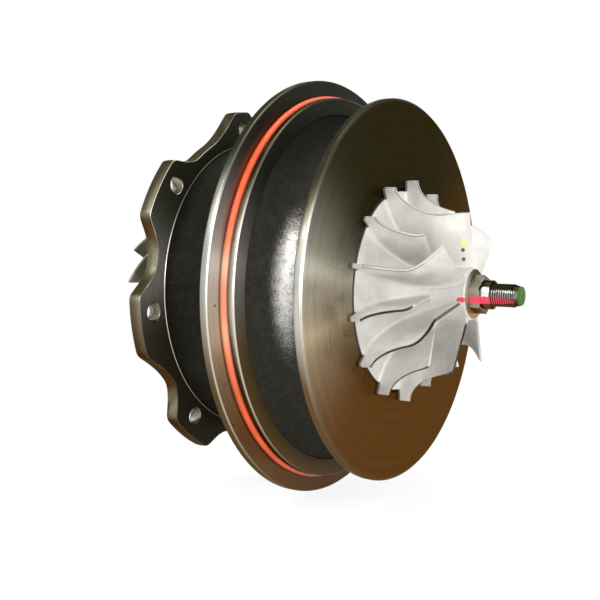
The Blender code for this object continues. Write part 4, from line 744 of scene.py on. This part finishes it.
def makeRoundShaftTree():
    # copies what comes in round the shaft
    inputs = dict(Geometry="Geometry", Copies=8, Angle=0.0, Material="Material")
    tree, given, result = newGroup("roundTheShaft", inputs, dict(Geometry="Geometry"), "GeometryNodeTree")
    line = addNode(tree, "GeometryNodeMeshLine", {"Count": given["Copies"], "Offset": (0.0, 0.0, 0.0)})
    index = addNode(tree, "GeometryNodeInputIndex").outputs[0]
    pitch = doMath(tree, "DIVIDE", fullTurn, given["Copies"])
    angle = doMath(tree, "ADD", product(tree, index, pitch), given["Angle"])
    euler = addNode(tree, "ShaderNodeCombineXYZ", [angle, 0.0, 0.0]).outputs[0]
    rotation = addNode(tree, "FunctionNodeEulerToRotation", [euler]).outputs[0]
    values = {"Points": line.outputs[0], "Instance": given["Geometry"], "Rotation": rotation}
    copies = addNode(tree, "GeometryNodeInstanceOnPoints", values)
    return dressGeometry(tree, result, copies.outputs[0], given["Material"])


def makeThreadTree():
    # a rolled thread on a round bar, whose ends dive under the bar
    inputs = dict(
        Geometry="Geometry", Start=0.0, Length=0.01, Radius=0.006, Depth=0.0006, Pitch=0.00125,
        Material="Material")
    tree, given, result = newGroup("rolledThread", inputs, dict(Geometry="Geometry"), "GeometryNodeTree")
    grid = addNode(tree, "GeometryNodeMeshGrid", [1.0, 1.0, 241, 73])
    position = addNode(tree, "GeometryNodeInputPosition").outputs[0]
    apart = addNode(tree, "ShaderNodeSeparateXYZ", [position]).outputs
    share = doMath(tree, "ADD", apart[0], 0.5)
    turns = doMath(tree, "ADD", apart[1], 0.5)
    station = doMath(tree, "ADD", given["Start"], product(tree, share, given["Length"]))
    phase = doMath(tree, "ADD", doMath(tree, "DIVIDE", station, given["Pitch"]), turns)
    wave = product(tree, doMath(tree, "PINGPONG", phase, 0.5), 2.0)
    depth = product(tree, remap(tree, wave, 0.15, 0.85, smooth=False), given["Depth"])
    ends = doMath(tree, "MINIMUM", remap(tree, share, 0.0, 0.02), remap(tree, share, 1.0, 0.97))
    sunk = product(tree, doMath(tree, "SUBTRACT", 1.0, ends), product(tree, given["Depth"], 1.4))
    radius = doMath(tree, "SUBTRACT", given["Radius"], doMath(tree, "MAXIMUM", depth, sunk))
    angle = product(tree, turns, fullTurn)
    sides = [product(tree, radius, doMath(tree, kind, angle)) for kind in ("COSINE", "SINE")]
    place = addNode(tree, "ShaderNodeCombineXYZ", [station, *sides]).outputs[0]
    bent = addNode(tree, "GeometryNodeSetPosition", {"Geometry": grid.outputs[0], "Position": place})
    values = {"Geometry": bent.outputs[0], "Distance": 0.000001}
    closed = addNode(tree, "GeometryNodeMergeByDistance", values)
    return dressGeometry(tree, result, closed.outputs[0], given["Material"])


def growFrom(thing, tree, material, **values):
    # runs a tree on an object and keeps the result as its mesh
    change = thing.modifiers.new(tree.name, "NODES")
    change.node_group = tree
    labels = {item.name: item.identifier for item in tree.interface.items_tree if item.in_out == "INPUT"}
    for name, value in {**values, "Material": bpy.data.materials[material]}.items():
        change[labels[name]] = value
    return bakeModifiers(thing)


roundShaftTree = makeRoundShaftTree()
threadTree = makeThreadTree()


def finishPiece(thing, body, node):
    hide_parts(node)
    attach(thing, body)


# bearing housing

housingLooks = dict(
    flangeRadius=121.75, flangeBack=-4.6, spigotRadius=111.3, spigotEnd=8.9, grooveRadius=108.5,
    grooveEnd=5.4, recessRadius=101.6, recessFloor=3.4, bossEnd=24.0, bossRadius=61.5,
    drumRadius=86.6, fillet=13.0, stepRadius=87.3,
    lugFront=-57.5, lugBack=-65.5, registerRadius=80.0, registerEnd=-69.5,
    lugs=8, lugRadius=107.0, valleyRadius=93.8, rise=10.5,
    lugShapes=((-5.7, 12.8, 16.0), (-7.2, 11.8, 10.0), (-3.9, 4.1, 17.0), (-5.2, 15.3, 11.0)),
    holeCircle=96.0, holeRadius=5.0, holeAngle=10.2,
    # pads: half length, half width, top and root; ports: offset across, start, end and radius
    portStation=-31.0, inletPad=(14.0, 25.0, 94.0, 66.0), drainPad=(15.0, 31.0, 92.0, 64.0),
    padLevels=((0.0, -1.2), (0.0, -1.0), (0.4, -0.25), (1.2, 0.0), (4.0, 0.4), (6.0, 1.3), (8.0, 3.2)),
    padCorner=8.0, padRoot=3.4,
    ports=(
        (0, 99, 70, 5.2), (0, -97, -49, 11.0), (17, 99, 78, 3.4), (-17, 99, 78, 3.4),
        (23, -97, -76, 4.2), (-23, -97, -76, 4.2)),
    cavity=((-50.0, 25.0), (-5.6, 25.0), (-5.6, 72.0), (-50.0, 72.0)),
    ribPlace=(-0.028, 0, 0.05), ribSize=(0.07, 0.022, 0.1, 1),
    bore=(
        (-78.0, 0.0), (-78.0, 17.5), (-55.5, 17.5), (-55.5, 21.0), (-52.0, 21.0), (-52.0, 15.2),
        (-50.8, 15.2), (-50.8, 16.4), (-49.0, 16.4), (-49.0, 15.2), (-36.7, 15.2), (-36.7, 13.7),
        (-15.3, 13.7), (-15.3, 15.2), (-3.0, 15.2), (-3.0, 16.4), (-1.2, 16.4), (-1.2, 15.2),
        (1.9, 15.2), (1.9, 22.0), (6.0, 22.0), (6.0, 34.0), (32.0, 34.0), (32.0, 0.0)),
    drains=(
        ((-0.058, 0, -0.010), (-0.0465, 0, -0.031), 3.0), ((-0.026, 0, 0.0), (-0.026, 0, -0.0485), 6.0),
        ((0.0063, 0, -0.0299), (-0.0059, 0, -0.0299), 3.6)),
    # holes in a circle: count, start, end, radius of the circle and of the holes
    thrustHoles=(3, -2.8, 13.0, 28.4, 2.5), screwHoles=(6, 7.7, 26.0, 47.0, 4.3))


def lugHeight(degrees):
    # 0 in a valley, 1 on a crest; lugShapes has the start and end of each crest and the run of its flank
    looks = housingLooks
    height = 0.0
    for index in range(looks["lugs"]):
        start, end, run = looks["lugShapes"][index % len(looks["lugShapes"])]
        hole = looks["holeAngle"] + 360.0 * index / looks["lugs"]
        offset = (degrees - hole - (start + end) / 2.0 + 180.0) % 360.0 - 180.0
        side = looks["rise"] if offset < 0.0 else run
        share = min(max(1.0 - (abs(offset) - (end - start) / 2.0) / side, 0.0), 1.0)
        height = max(height, share * share)
    return height


def lugReach(angle):
    # the corners are rounded by taking the mean of five neighbours
    looks = housingLooks
    height = sum(lugHeight(math.degrees(angle) + 0.55 * step) for step in range(-2, 3)) / 5.0
    return looks["valleyRadius"] + (looks["lugRadius"] - looks["valleyRadius"]) * height


def lugInset(amount):
    return lambda angle: lugReach(angle) - amount


def makePad(name, halfLength, halfWidth, top, root):
    # a flat-topped boss with rounded corners and a cast skirt
    looks = housingLooks
    built = bmesh.new()
    rings = []
    levels = [(top - drop, grow) for drop, grow in looks["padLevels"]]
    for height, grow in levels + [(root, looks["padRoot"])]:
        ring = []
        corner = looks["padCorner"] + grow
        for cornerIndex, (side, end) in enumerate(((1, 1), (-1, 1), (-1, -1), (1, -1))):
            for step in range(9):
                angle = quarterTurn * (cornerIndex + step / 8.0)
                x = looks["portStation"] + side * (halfLength + grow - corner) + corner * math.cos(angle)
                y = end * (halfWidth + grow - corner) + corner * math.sin(angle)
                ring.append(built.verts.new((x * mm, y * mm, height * mm)))
        rings.append(ring)
    for first, second in zip(rings, rings[1:]):
        for index in range(len(first)):
            after = (index + 1) % len(first)
            built.faces.new((first[index], first[after], second[after], second[index]))
    built.faces.new(rings[0]).material_index = 1
    built.faces.new(rings[-1])
    return fromBmesh(name, built, "drumPaint flangeRim")


def makeHousing():
    looks = housingLooks
    paint, face, rim, lug, edge, foot, bright, inside, line, land = range(10)
    materials = (
        "drumPaint flangeFace flangeRim lugFace lugEdge footFace brightEdge castInside lugLine landRim")
    back, front, rear, end = (looks[name] for name in ("flangeBack", "lugFront", "lugBack", "registerEnd"))
    spigotEnd, floor, fillet = (looks[name] for name in ("spigotEnd", "recessFloor", "fillet"))
    boss, recess, spigot, groove, flange, drum, step, register = (
        looks[name + "Radius"]
        for name in ("boss", "recess", "spigot", "groove", "flange", "drum", "step", "register"))
    points = [
        (looks["bossEnd"], 0.0, 0.0, inside),
        (looks["bossEnd"], boss, 0.4, inside),
        (floor, boss, 0.0, inside),
        (floor, recess, 0.0, inside),
        (spigotEnd, recess, 0.25, foot),
        (spigotEnd, spigot - 0.8, 0.15, bright),
        (spigotEnd - 0.8, spigot, 0.15, land),
        (looks["grooveEnd"], spigot, 0.25, foot),
        (looks["grooveEnd"], groove, 0.3, foot),
        (0.0, groove, 0.3, face),
        (0.0, flange - 0.75, 0.12, bright),
        (-0.75, flange, 0.12, rim),
        (back + 0.4, flange, 0.2, rim),
        (back, flange - 0.4, 0.2, rim),
        (back, drum + fillet + 6.0, 0.0, rim),
        *arcPoints(back - fillet, drum + fillet, fillet, fillet, 0.0, -90.0, 14, paint),
        (front + 0.8, drum, 0.0, lug),
        (front + 0.8, step - 0.3, 0.0, bright),
        (front + 0.5, step, 0.0, rim),
        (front, step, 0.0, lug),
        (front, lugInset(0.35), 0.0, line),
        (front - 0.25, lugInset(0.0), 0.0, edge),
        (front - 2.5, lugInset(-0.15), 0.0, edge),
        ((front + rear) / 2.0, lugInset(-0.25), 0.0, edge),
        (rear + 2.5, lugInset(-0.15), 0.0, edge),
        (rear + 0.5, lugInset(0.0), 0.0, edge),
        (rear + 0.15, lugInset(0.35), 0.0, bright),
        (rear, lugInset(0.9), 0.0, lug),
        (rear, register, 0.0, rim),
        (end + 0.7, register, 0.0, bright),
        (end, register - 0.7, 0.0, rim),
        (end, 0.0, 0.0, rim),
    ]
    housing = turned("bearingHousing", points, 480, materials)
    combine(housing, makePad("inletPad", *looks["inletPad"]), "UNION")
    drain = makePad("drainPad", *looks["drainPad"])
    drain.data.transform(Matrix.Rotation(math.pi, 4, "X"))
    return combine(housing, drain, "UNION")


def makeLugHoleCutter():
    looks = housingLooks
    past = 6.0
    radius, rear, front = looks["holeRadius"], looks["lugBack"], looks["lugFront"]
    profile = [
        (rear - past, 0.0), (rear - past, radius + 0.5), (rear, radius + 0.5), (rear + 0.5, radius),
        (front - 0.4, radius), (front, radius + 0.4), (front + past, radius + 0.4), (front + past, 0.0)]
    cutter = turned("lugHoles", profile, 40)
    cutter.data.transform(Matrix.Translation((0.0, looks["holeCircle"] * mm, 0.0)))
    angle = math.radians(looks["holeAngle"])
    return growFrom(cutter, roundShaftTree, "boreSteel", Copies=looks["lugs"], Angle=angle)


def cutHousing(housing):
    looks = housingLooks
    combine(housing, makeLugHoleCutter())
    port = looks["portStation"]
    rods = [
        (Vector((port, across, start)) * mm, Vector((port, across, end)) * mm, radius)
        for across, start, end, radius in looks["ports"]]
    drill(housing, "oilPorts", rods)
    cavity = turned("oilCavity", looks["cavity"], 96, "castInside", True)
    built = bmesh.new()
    rib = Matrix.Translation(looks["ribPlace"]) @ Matrix.Diagonal(looks["ribSize"])
    bmesh.ops.create_cube(built, matrix=rib)
    combine(housing, combine(cavity, fromBmesh("galleryRib", built, "castInside")))
    combine(housing, turned("shaftBore", looks["bore"], 96, "sealIron"))
    drains = [(Vector(start), Vector(end), radius) for start, end, radius in looks["drains"]]
    rods = drains + holesRound(*looks["thrustHoles"]) + holesRound(*looks["screwHoles"])
    return smoothRound(drill(housing, "smallHoles", rods))


finishPiece(cutHousing(makeHousing()), "housing", "bearing_housing")
print("bearing housing made")


# compressor backplate

backplateLooks = dict(
    face=47.2, disc=108.8, rim=4.6, neck=84.0, footRadius=101.3, footFace=8.4, flare=18.0, rise=7.5,
    taper=1.5, wall=7.5, recess=58.5, webBore=33.5, foot=3.7, screwHoles=(6, 20.0, 31.0, 47.0, 4.3),
    counterbores=(6, 30.2, 47.0, 47.0, 6.8))


def makeBackplate():
    looks = backplateLooks
    face, edge, rim, bell, foot, inside = range(6)
    materials = "discFace discLine discRim bellPaint footFace castInside"
    top, disc, rise, web, outer, low = (
        looks[name] for name in ("face", "disc", "rise", "webBore", "footRadius", "foot"))
    under = top - looks["rim"]
    flareEnd = looks["footFace"] + looks["flare"]
    neck = looks["neck"] + rise
    drop = outer - looks["neck"]
    points = [
        (37.8, web, 0.2, foot),
        (43.6, looks["recess"], 0.3, foot),
        (top, looks["recess"], 0.3, face),
        (top, disc - 1.3, 0.2, edge),
        (top - 1.3, disc, 0.2, rim),
        (under, disc, 0.5, bell),
        (under - looks["taper"], neck + 1.0, 0.0, bell),
        *arcPoints(under - looks["taper"] - rise, neck, rise, rise, 0.0, -90.0, 12, bell),
        *arcPoints(flareEnd, outer, looks["flare"], drop, -90.0, -180.0, 24, bell),
        (7.3, outer, 0.0, foot), (7.3, 99.0, 0.0, foot), (4.7, 99.0, 0.0, foot), (4.7, outer, 0.0, foot),
        (low, outer, 0.3, foot),
        *arcPoints(flareEnd, outer - looks["wall"], flareEnd - low, drop, 180.0, 270.0, 12, inside),
        (35.0, 76.5, 1.0, inside), (35.0, 61.5, 0.5, inside),
        *[(station, radius, 0.0, inside) for station, radius in (
            (24.3, 61.5), (24.3, 29.5), (26.3, 29.5), (26.3, web), (34.6, web), (34.6, 34.7), (36.4, 34.7),
            (36.4, web))],
    ]
    plate = turned("compressorBackplate", points, 360, materials, True)
    drill(plate, "screwHoles", holesRound(*looks["screwHoles"]))
    drill(plate, "counterbores", holesRound(*looks["counterbores"]))
    return smoothRound(plate)


finishPiece(makeBackplate(), "housing", "compressor_backplate")
print("backplate made")

ringLooks = dict(station=2.5, radius=110.6, cord=4.2)


def makeCoverRing():
    half = ringLooks["cord"] / 2.0
    points = arcPoints(ringLooks["station"], ringLooks["radius"], half, half, 0.0, 345.0, 23)
    return smoothRound(turned("coverRing", points, 360, "orangeRubber", True), 60.0)


finishPiece(makeCoverRing(), "housing", "cover_o_ring")


# compressor wheel

wheel = dict(
    face=47.2, blades=7, angle=117.0, disc=57.0, tip=63.0, eye=44.8, eyeHeight=40.5,
    outlet=7.5, hub=14.3, hubHeight=43.0, noseHeight=44.1, wrap=19.0, scoop=0.35, sweep=3.5,
    splitter=0.226, rim=0.84, rimReach=0.97, root=2.6, crown=1.8, edge=0.3, fillet=2.2, clear=0.5,
    nose=0.03, free=(0.839, 2.0), low=(0.12, 0.3, 0.55), high=(0.18, 0.36, 0.55, 0.75, 0.9))


def hubPoint(share):
    turn = share * quarterTurn
    return (wheel["face"] + wheel["hubHeight"] * (1.0 - math.sin(turn)),
            wheel["disc"] - (wheel["disc"] - wheel["hub"]) * math.cos(turn))


def rootPoint(share):
    if share < wheel["rim"]:
        return hubPoint(share / wheel["rim"] * wheel["rimReach"])
    reach = (share - wheel["rim"]) / (1.0 - wheel["rim"])
    start = wheel["disc"] + wheel["clear"] / 2.0
    return wheel["face"] + wheel["clear"], start + (wheel["tip"] - start) * reach


def crownPoint(share):
    turn = share * quarterTurn
    length = wheel["eyeHeight"] - wheel["outlet"]
    return (wheel["face"] + wheel["eyeHeight"] - length * math.sin(turn),
            wheel["tip"] - (wheel["tip"] - wheel["eye"]) * math.cos(turn))


def wrapAngle(share):
    scoop = 1.0 - min(share / wheel["scoop"], 1.0)
    return -(wheel["wrap"] * scoop * scoop + wheel["sweep"] * (1.0 - share))


def bladeHeights(sizes):
    # levels up a blade, each in millimetres and as a share of its span
    fillet = sizes["fillet"]
    low = [(-0.5, 0.0)] + [(share * fillet, 0.0) for share in (0.0, *sizes["low"], 1.0)]
    high = [(fillet * (1.0 - share), share) for share in sizes["high"]]
    return low + high + [(-sizes["edge"], 1.0), (0.0, 1.0)]


def loftBlade(built, sizes, shares, rootAt, crownAt, angleAt):
    # a thin blade on a middle surface, with a round fillet at its foot; a free foot past the rim has none
    def middle(share, height):
        root, crown = rootAt(share), crownAt(share)
        reach = min(height / math.dist(root, crown), 1.0)
        station = root[0] + (crown[0] - root[0]) * reach
        radius = root[1] + (crown[1] - root[1]) * reach
        return polar(station, radius, angleAt(share))

    levels = bladeHeights(sizes)
    grids = []
    for side in (-1.0, 1.0):
        grid = []
        for share in shares:
            root, crown = rootAt(share), crownAt(share)
            span = math.dist(root, crown)
            isFree = sizes["free"][0] <= share <= sizes["free"][1]
            line = []
            for fixed, portion in levels:
                tall = fixed + portion * span
                place = middle(share, tall)
                step = 0.004
                along = middle(min(share + step, 1.0), tall) - middle(max(share - step, 0.0), tall)
                across = polar(crown[0], crown[1], angleAt(share)) - polar(root[0], root[1], angleAt(share))
                normal = along.cross(across).normalized()
                part = min(max(tall / span, 0.0), 1.0)
                half = (sizes["root"] + (sizes["crown"] - sizes["root"]) * part) / 2.0
                nose = min(share - shares[0], sizes["nose"]) / sizes["nose"]
                half *= 0.55 + 0.45 * math.sqrt(nose)
                half -= max(sizes["edge"] - (span - tall), 0.0)
                if tall < sizes["fillet"] and not isFree:
                    lift = sizes["fillet"] - max(tall, 0.0)
                    half += sizes["fillet"] - math.sqrt(sizes["fillet"] ** 2 - lift ** 2)
                line.append(built.verts.new(place + normal * (side * half * mm)))
            grid.append(line)
        grids.append(grid)
    left, right = grids
    rows, columns = len(levels) - 1, len(shares) - 1
    for i in range(columns):
        for j in range(rows):
            built.faces.new((left[i][j], left[i + 1][j], left[i + 1][j + 1], left[i][j + 1]))
            built.faces.new((right[i][j], right[i][j + 1], right[i + 1][j + 1], right[i + 1][j]))
        for j in (0, rows):
            built.faces.new((left[i][j], left[i + 1][j], right[i + 1][j], right[i][j]))
    for i in (0, columns):
        for j in range(rows):
            built.faces.new((left[i][j], left[i][j + 1], right[i][j + 1], right[i][j]))


def evenly(start, end, count):
    return [start + (end - start) * index / count for index in range(count + 1)]


def joinWheel(name, sizes, built, hub, material):
    blades = fromBmesh(name + "Blades", built)
    growFrom(blades, roundShaftTree, material, Copies=sizes["blades"], Angle=math.radians(sizes["angle"]))
    return smoothRound(joinMeshes(name + "Wheel", [blades, hub]), 40.0)


def makeCompressorWheel():
    rim = evenly(wheel["rim"], 1.0, 4)
    built = bmesh.new()
    full = evenly(0.0, wheel["rim"] - 0.004, 26) + rim
    loftBlade(built, wheel, full, rootPoint, crownPoint, wrapAngle)
    split = evenly(wheel["splitter"], wheel["rim"] - 0.004, 20) + rim
    pitch = 180.0 / wheel["blades"]
    loftBlade(built, wheel, split, rootPoint, crownPoint, lambda share: wrapAngle(share) + pitch)
    nose = wheel["face"] + wheel["noseHeight"]
    points = [
        (35.0, 6.65), (nose, 6.65, 0.2, 1), (nose, wheel["hub"] - 0.6), (nose - 0.6, wheel["hub"]),
        *[hubPoint(index / 40.0) for index in range(41)],
        (44.2, wheel["disc"], 0.4), (35.0, 20.0, 0.6)]
    hub = turned("compressorHub", points, 252, "wheelAluminium noseFace", True)
    return joinWheel("compressor", wheel, built, hub, "wheelAluminium")


finishPiece(makeCompressorWheel(), "rotor", "compressor_wheel")
print("compressor wheel made")


# turbine wheel and heat shield

turbine = dict(
    back=-75.3, blades=14, angle=156.7, tip=57.5, disc=50.0, discThickness=3.0, inlet=16.0,
    outlet=46.0, length=46.5, hub=15.0, noseLength=7.0, wrap=34.0, bend=0.3, scallop=0.12,
    crown=1.5, edge=0.25, root=2.6, fillet=1.8, nose=0.03, free=(-1.0, 0.118), low=(0.12, 0.35),
    high=(0.25, 0.5, 0.75))


def turbineHub(share):
    turn = share * quarterTurn
    end = turbine["back"] - turbine["length"]
    return (end + (turbine["length"] - turbine["discThickness"]) * math.cos(turn),
            turbine["disc"] - (turbine["disc"] - turbine["hub"]) * math.sin(turn))


def turbineRoot(share):
    if share < turbine["scallop"]:
        reach = share / turbine["scallop"]
        return turbine["back"] - 0.6, turbine["tip"] + (turbine["disc"] + 1.0 - turbine["tip"]) * reach
    return turbineHub((share - turbine["scallop"]) / (1.0 - turbine["scallop"]))


def turbineCrown(share):
    turn = share * quarterTurn
    end = turbine["back"] - turbine["length"]
    return (end + (turbine["length"] - turbine["inlet"]) * math.cos(turn),
            turbine["tip"] - (turbine["tip"] - turbine["outlet"]) * math.sin(turn))


def turbineAngle(share):
    late = max((share - turbine["bend"]) / (1.0 - turbine["bend"]), 0.0)
    return -turbine["wrap"] * (1.0 - late * late)


def makeTurbineWheel():
    shares = evenly(0.0, turbine["scallop"] - 0.004, 3) + evenly(turbine["scallop"], 1.0, 18)
    built = bmesh.new()
    loftBlade(built, turbine, shares, turbineRoot, turbineCrown, turbineAngle)
    back = turbine["back"]
    end = back - turbine["length"]
    nose = end - turbine["noseLength"]
    points = [
        (-71.5, 0.0), (-71.5, 16.8, 0.3), (back, 16.8, 0.8), (back, turbine["disc"], 0.4),
        *[turbineHub(index / 30.0) for index in range(31)],
        (end - 3.5, 13.5, 0.8), (end - 3.5, 9.0, 0.6), (nose, 9.0, 0.6), (nose, 0.0)]
    hub = turned("turbineHub", points, 196, "turbineAlloy")
    return joinWheel("turbine", turbine, built, hub, "turbineAlloy")


finishPiece(makeTurbineWheel(), "rotor", "turbine_wheel")

shieldLooks = dict(profile=(
    (-69.8, 76.0, 0.3), (-71.2, 76.0, 0.5), (-71.2, 63.75, 1.6), (-74.7, 62.0, 1.6), (-74.7, 21.0, 0.5),
    (-73.3, 21.0, 0.3), (-73.3, 60.6, 1.2), (-69.8, 62.35, 1.2)))
heatShield = smoothRound(turned("heatShield", shieldLooks["profile"], 240, "shieldSteel", True))
finishPiece(heatShield, "housing", "heat_shield")
print("turbine wheel and heat shield made")


# nut and stud

nut = dict(start=91.4, hexEnd=97.9, end=102.6, flats=19.0, collar=8.0, bore=6.65, turn=12.0, bevel=0.12)
stud = dict(threadStart=99.6, threadEnd=115.4, end=118.6, endRadius=5.1, radius=6.35, pitch=1.27, depth=0.62)


def makeNut():
    start, hexEnd, end, collar, bore = (nut[name] for name in ("start", "hexEnd", "end", "collar", "bore"))
    corner = nut["flats"] / 2.0 / math.cos(math.pi / 6.0)
    tall = corner + (corner - nut["flats"] / 2.0)
    built = bmesh.new()
    addRod(built, Vector((start * mm, 0, 0)), Vector((hexEnd * mm, 0, 0)), corner, 6)
    turn = Matrix.Rotation(math.radians(nut["turn"]), 4, "X")
    bmesh.ops.transform(built, matrix=turn, verts=built.verts)
    bmesh.ops.bevel(
        built, geom=list(built.edges), offset=nut["bevel"] * mm, segments=2, profile=0.5, affect="EDGES")
    hexagon = fromBmesh("compressorNut", built, "nutSteel")
    barrel = [
        (start - 1.0, 0.0), (start - 1.0, 8.3), (start + 0.9, tall), (hexEnd - 0.8, tall),
        (hexEnd + 0.4, 8.6), (hexEnd + 0.4, 0.0)]
    combine(hexagon, turned("nutBarrel", barrel, 96, "nutSteel"), "INTERSECT")
    top = [(hexEnd - 1.0, 0.0), (hexEnd - 1.0, collar), (end, collar, 0.45), (end, 0.0)]
    combine(hexagon, turned("nutCollar", top, 96, "shaftSteel"), "UNION")
    hole = [
        (start - 2.0, 0.0), (start - 2.0, bore), (end - 0.6, bore), (end + 0.4, bore + 0.8),
        (end + 2.0, bore + 0.8), (end + 2.0, 0.0)]
    combine(hexagon, turned("nutBore", hole, 96, "nutSteel"))
    return smoothRound(hexagon, 28.0)


finishPiece(makeNut(), "rotor", "compressor_nut")


def makeShaft():
    start, threadEnd, end = (stud[name] for name in ("threadStart", "threadEnd", "end"))
    core = stud["radius"] - stud["depth"] * 0.9
    points = [
        (-71.2, 0.0), (-71.2, 16.8, 0.2), (-67.6, 16.8), (-67.6, 14.5), (-65.1, 14.5), (-65.1, 16.8),
        (-62.6, 16.8), (-62.6, 14.5), (-60.1, 14.5), (-60.1, 16.8), (-55.5, 16.8, 0.2), (-52.0, 10.0),
        (-35.8, 10.0), (-34.6, 8.8), (-17.4, 8.8), (-16.2, 10.0), (1.9, 10.0, 0.2), (1.9, 6.35),
        (start, 6.35, 0.3), (start + 0.7, core), (threadEnd - 0.6, core), (threadEnd, core, 0.3),
        (end, stud["endRadius"], 0.25), (end, 1.3, 0.1), (end - 0.9, 0.0)]
    bar = turned("rotorBar", points, 96, "shaftSteel")
    sizes = dict(
        Start=start, Length=threadEnd - start, Radius=stud["radius"], Depth=stud["depth"],
        Pitch=stud["pitch"])
    thread = makeObject("studThread", bpy.data.meshes.new("studThread"))
    growFrom(thread, threadTree, "shaftSteel", **{name: size * mm for name, size in sizes.items()})
    return smoothRound(joinMeshes("rotorShaft", [bar, thread]), 50.0)


finishPiece(makeShaft(), "rotor", "rotor_shaft")
print("nut and stud made")

# pieces that stay as the frame has them, with their own finishes
keptFinishes = {
    "backplate_o_ring": "blackRubber", "seal_plate_o_ring": "blackRubber", "seal_plate": "sealIron",
    "thrust_bearing": "bronze", "compressor_journal_bearing": "bronze",
    "turbine_journal_bearing": "bronze", "oil_baffle": "shieldSteel"}
for name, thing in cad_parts.items():
    thing.data.materials.clear()
    thing.data.materials.append(bpy.data.materials[keptFinishes.get(name, "hiddenSteel")])
print("inner pieces finished")


# camera, light and floor

viewLooks = dict(
    place=(0.29525, -0.49724, 0.00630), right=(0.84139, 0.53898, 0.03945), up=(-0.04684, 0.0, 0.99890),
    forward=(-0.53839, 0.84232, -0.02525), lens=57.597, sensor=36.0)
lampLooks = [
    dict(name="keyLamp", place=(-0.35, -0.95, 0.75), size=0.55, energy=9.0, color=(1.0, 0.97, 0.92)),
    dict(name="fillLamp", place=(1.1, -0.7, 0.35), size=0.9, energy=7.0, color=(1.0, 0.95, 0.88)),
    dict(name="topLamp", place=(0.1, 0.1, 1.2), size=0.8, energy=6.0, color=(1.0, 0.98, 0.95)),
]
lampTarget = Vector((-0.005, 0.0, 0.0))
floorLooks = dict(drop=0.0005, size=6.0, tone=(0.9, 0.9, 0.9), rough=0.9, glow=1.12, share=0.8)
worldStrengths = (0.55, 1.0)


def makeCamera():
    data = bpy.data.cameras.new("camera")
    data.lens = viewLooks["lens"]
    data.sensor_width = viewLooks["sensor"]
    camera = makeObject("camera", data)
    columns = [Vector(viewLooks["right"]), Vector(viewLooks["up"]), -Vector(viewLooks["forward"])]
    turn = Matrix([[column[row] for column in columns] for row in range(3)]).to_4x4()
    camera.matrix_world = Matrix.Translation(viewLooks["place"]) @ turn
    bpy.context.scene.camera = camera


def makeLamp(looks):
    data = bpy.data.lights.new(looks["name"], "AREA")
    for setting in ("energy", "size", "color"):
        setattr(data, setting, looks[setting])
    lamp = makeObject(looks["name"], data)
    place = Vector(looks["place"])
    turn = (lampTarget - place).to_track_quat("-Z", "Y").to_matrix().to_4x4()
    lamp.matrix_world = Matrix.Translation(place) @ turn


def seenDirectly(tree):
    # 1 where the camera, a gloss or a clear piece looks straight at it
    rays = tree.nodes.new("ShaderNodeLightPath").outputs
    seen = doMath(tree, "MAXIMUM", rays["Is Camera Ray"], rays["Is Glossy Ray"])
    return doMath(tree, "MAXIMUM", seen, rays["Is Transmission Ray"])


def makeWorld():
    world = bpy.data.worlds.new("studio")
    bpy.context.scene.world = world
    world.use_nodes = True
    tree = world.node_tree
    shader = tree.nodes["Background"].inputs
    setSocket(tree, shader["Color"], white)
    strength = remap(tree, seenDirectly(tree), 0.0, 1.0, *worldStrengths, smooth=False)
    setSocket(tree, shader["Strength"], strength)


def makeFloor():
    looks = floorLooks
    material = bpy.data.materials.new("paleFloor")
    material.use_nodes = True
    tree = material.node_tree
    shader = tree.nodes["Principled BSDF"]
    setSocket(tree, shader.inputs["Base Color"], looks["tone"])
    setSocket(tree, shader.inputs["Roughness"], looks["rough"])
    glow = addNode(tree, "ShaderNodeEmission", {"Color": white, "Strength": looks["glow"]})
    share = product(tree, seenDirectly(tree), looks["share"])
    mix = addNode(tree, "ShaderNodeMixShader", [share, shader.outputs[0], glow.outputs[0]])
    setSocket(tree, tree.nodes["Material Output"].inputs["Surface"], mix.outputs[0])
    built = bmesh.new()
    place = Matrix.Translation((0.0, 0.0, cadBox[0].z - looks["drop"]))
    bmesh.ops.create_grid(built, x_segments=1, y_segments=1, size=looks["size"], matrix=place)
    fromBmesh("floor", built, "paleFloor", weld=False)


makeCamera()
for lamp in lampLooks:
    makeLamp(lamp)
makeWorld()
makeFloor()
bpy.context.scene.view_settings.view_transform = "Standard"
print("camera, light and floor set")
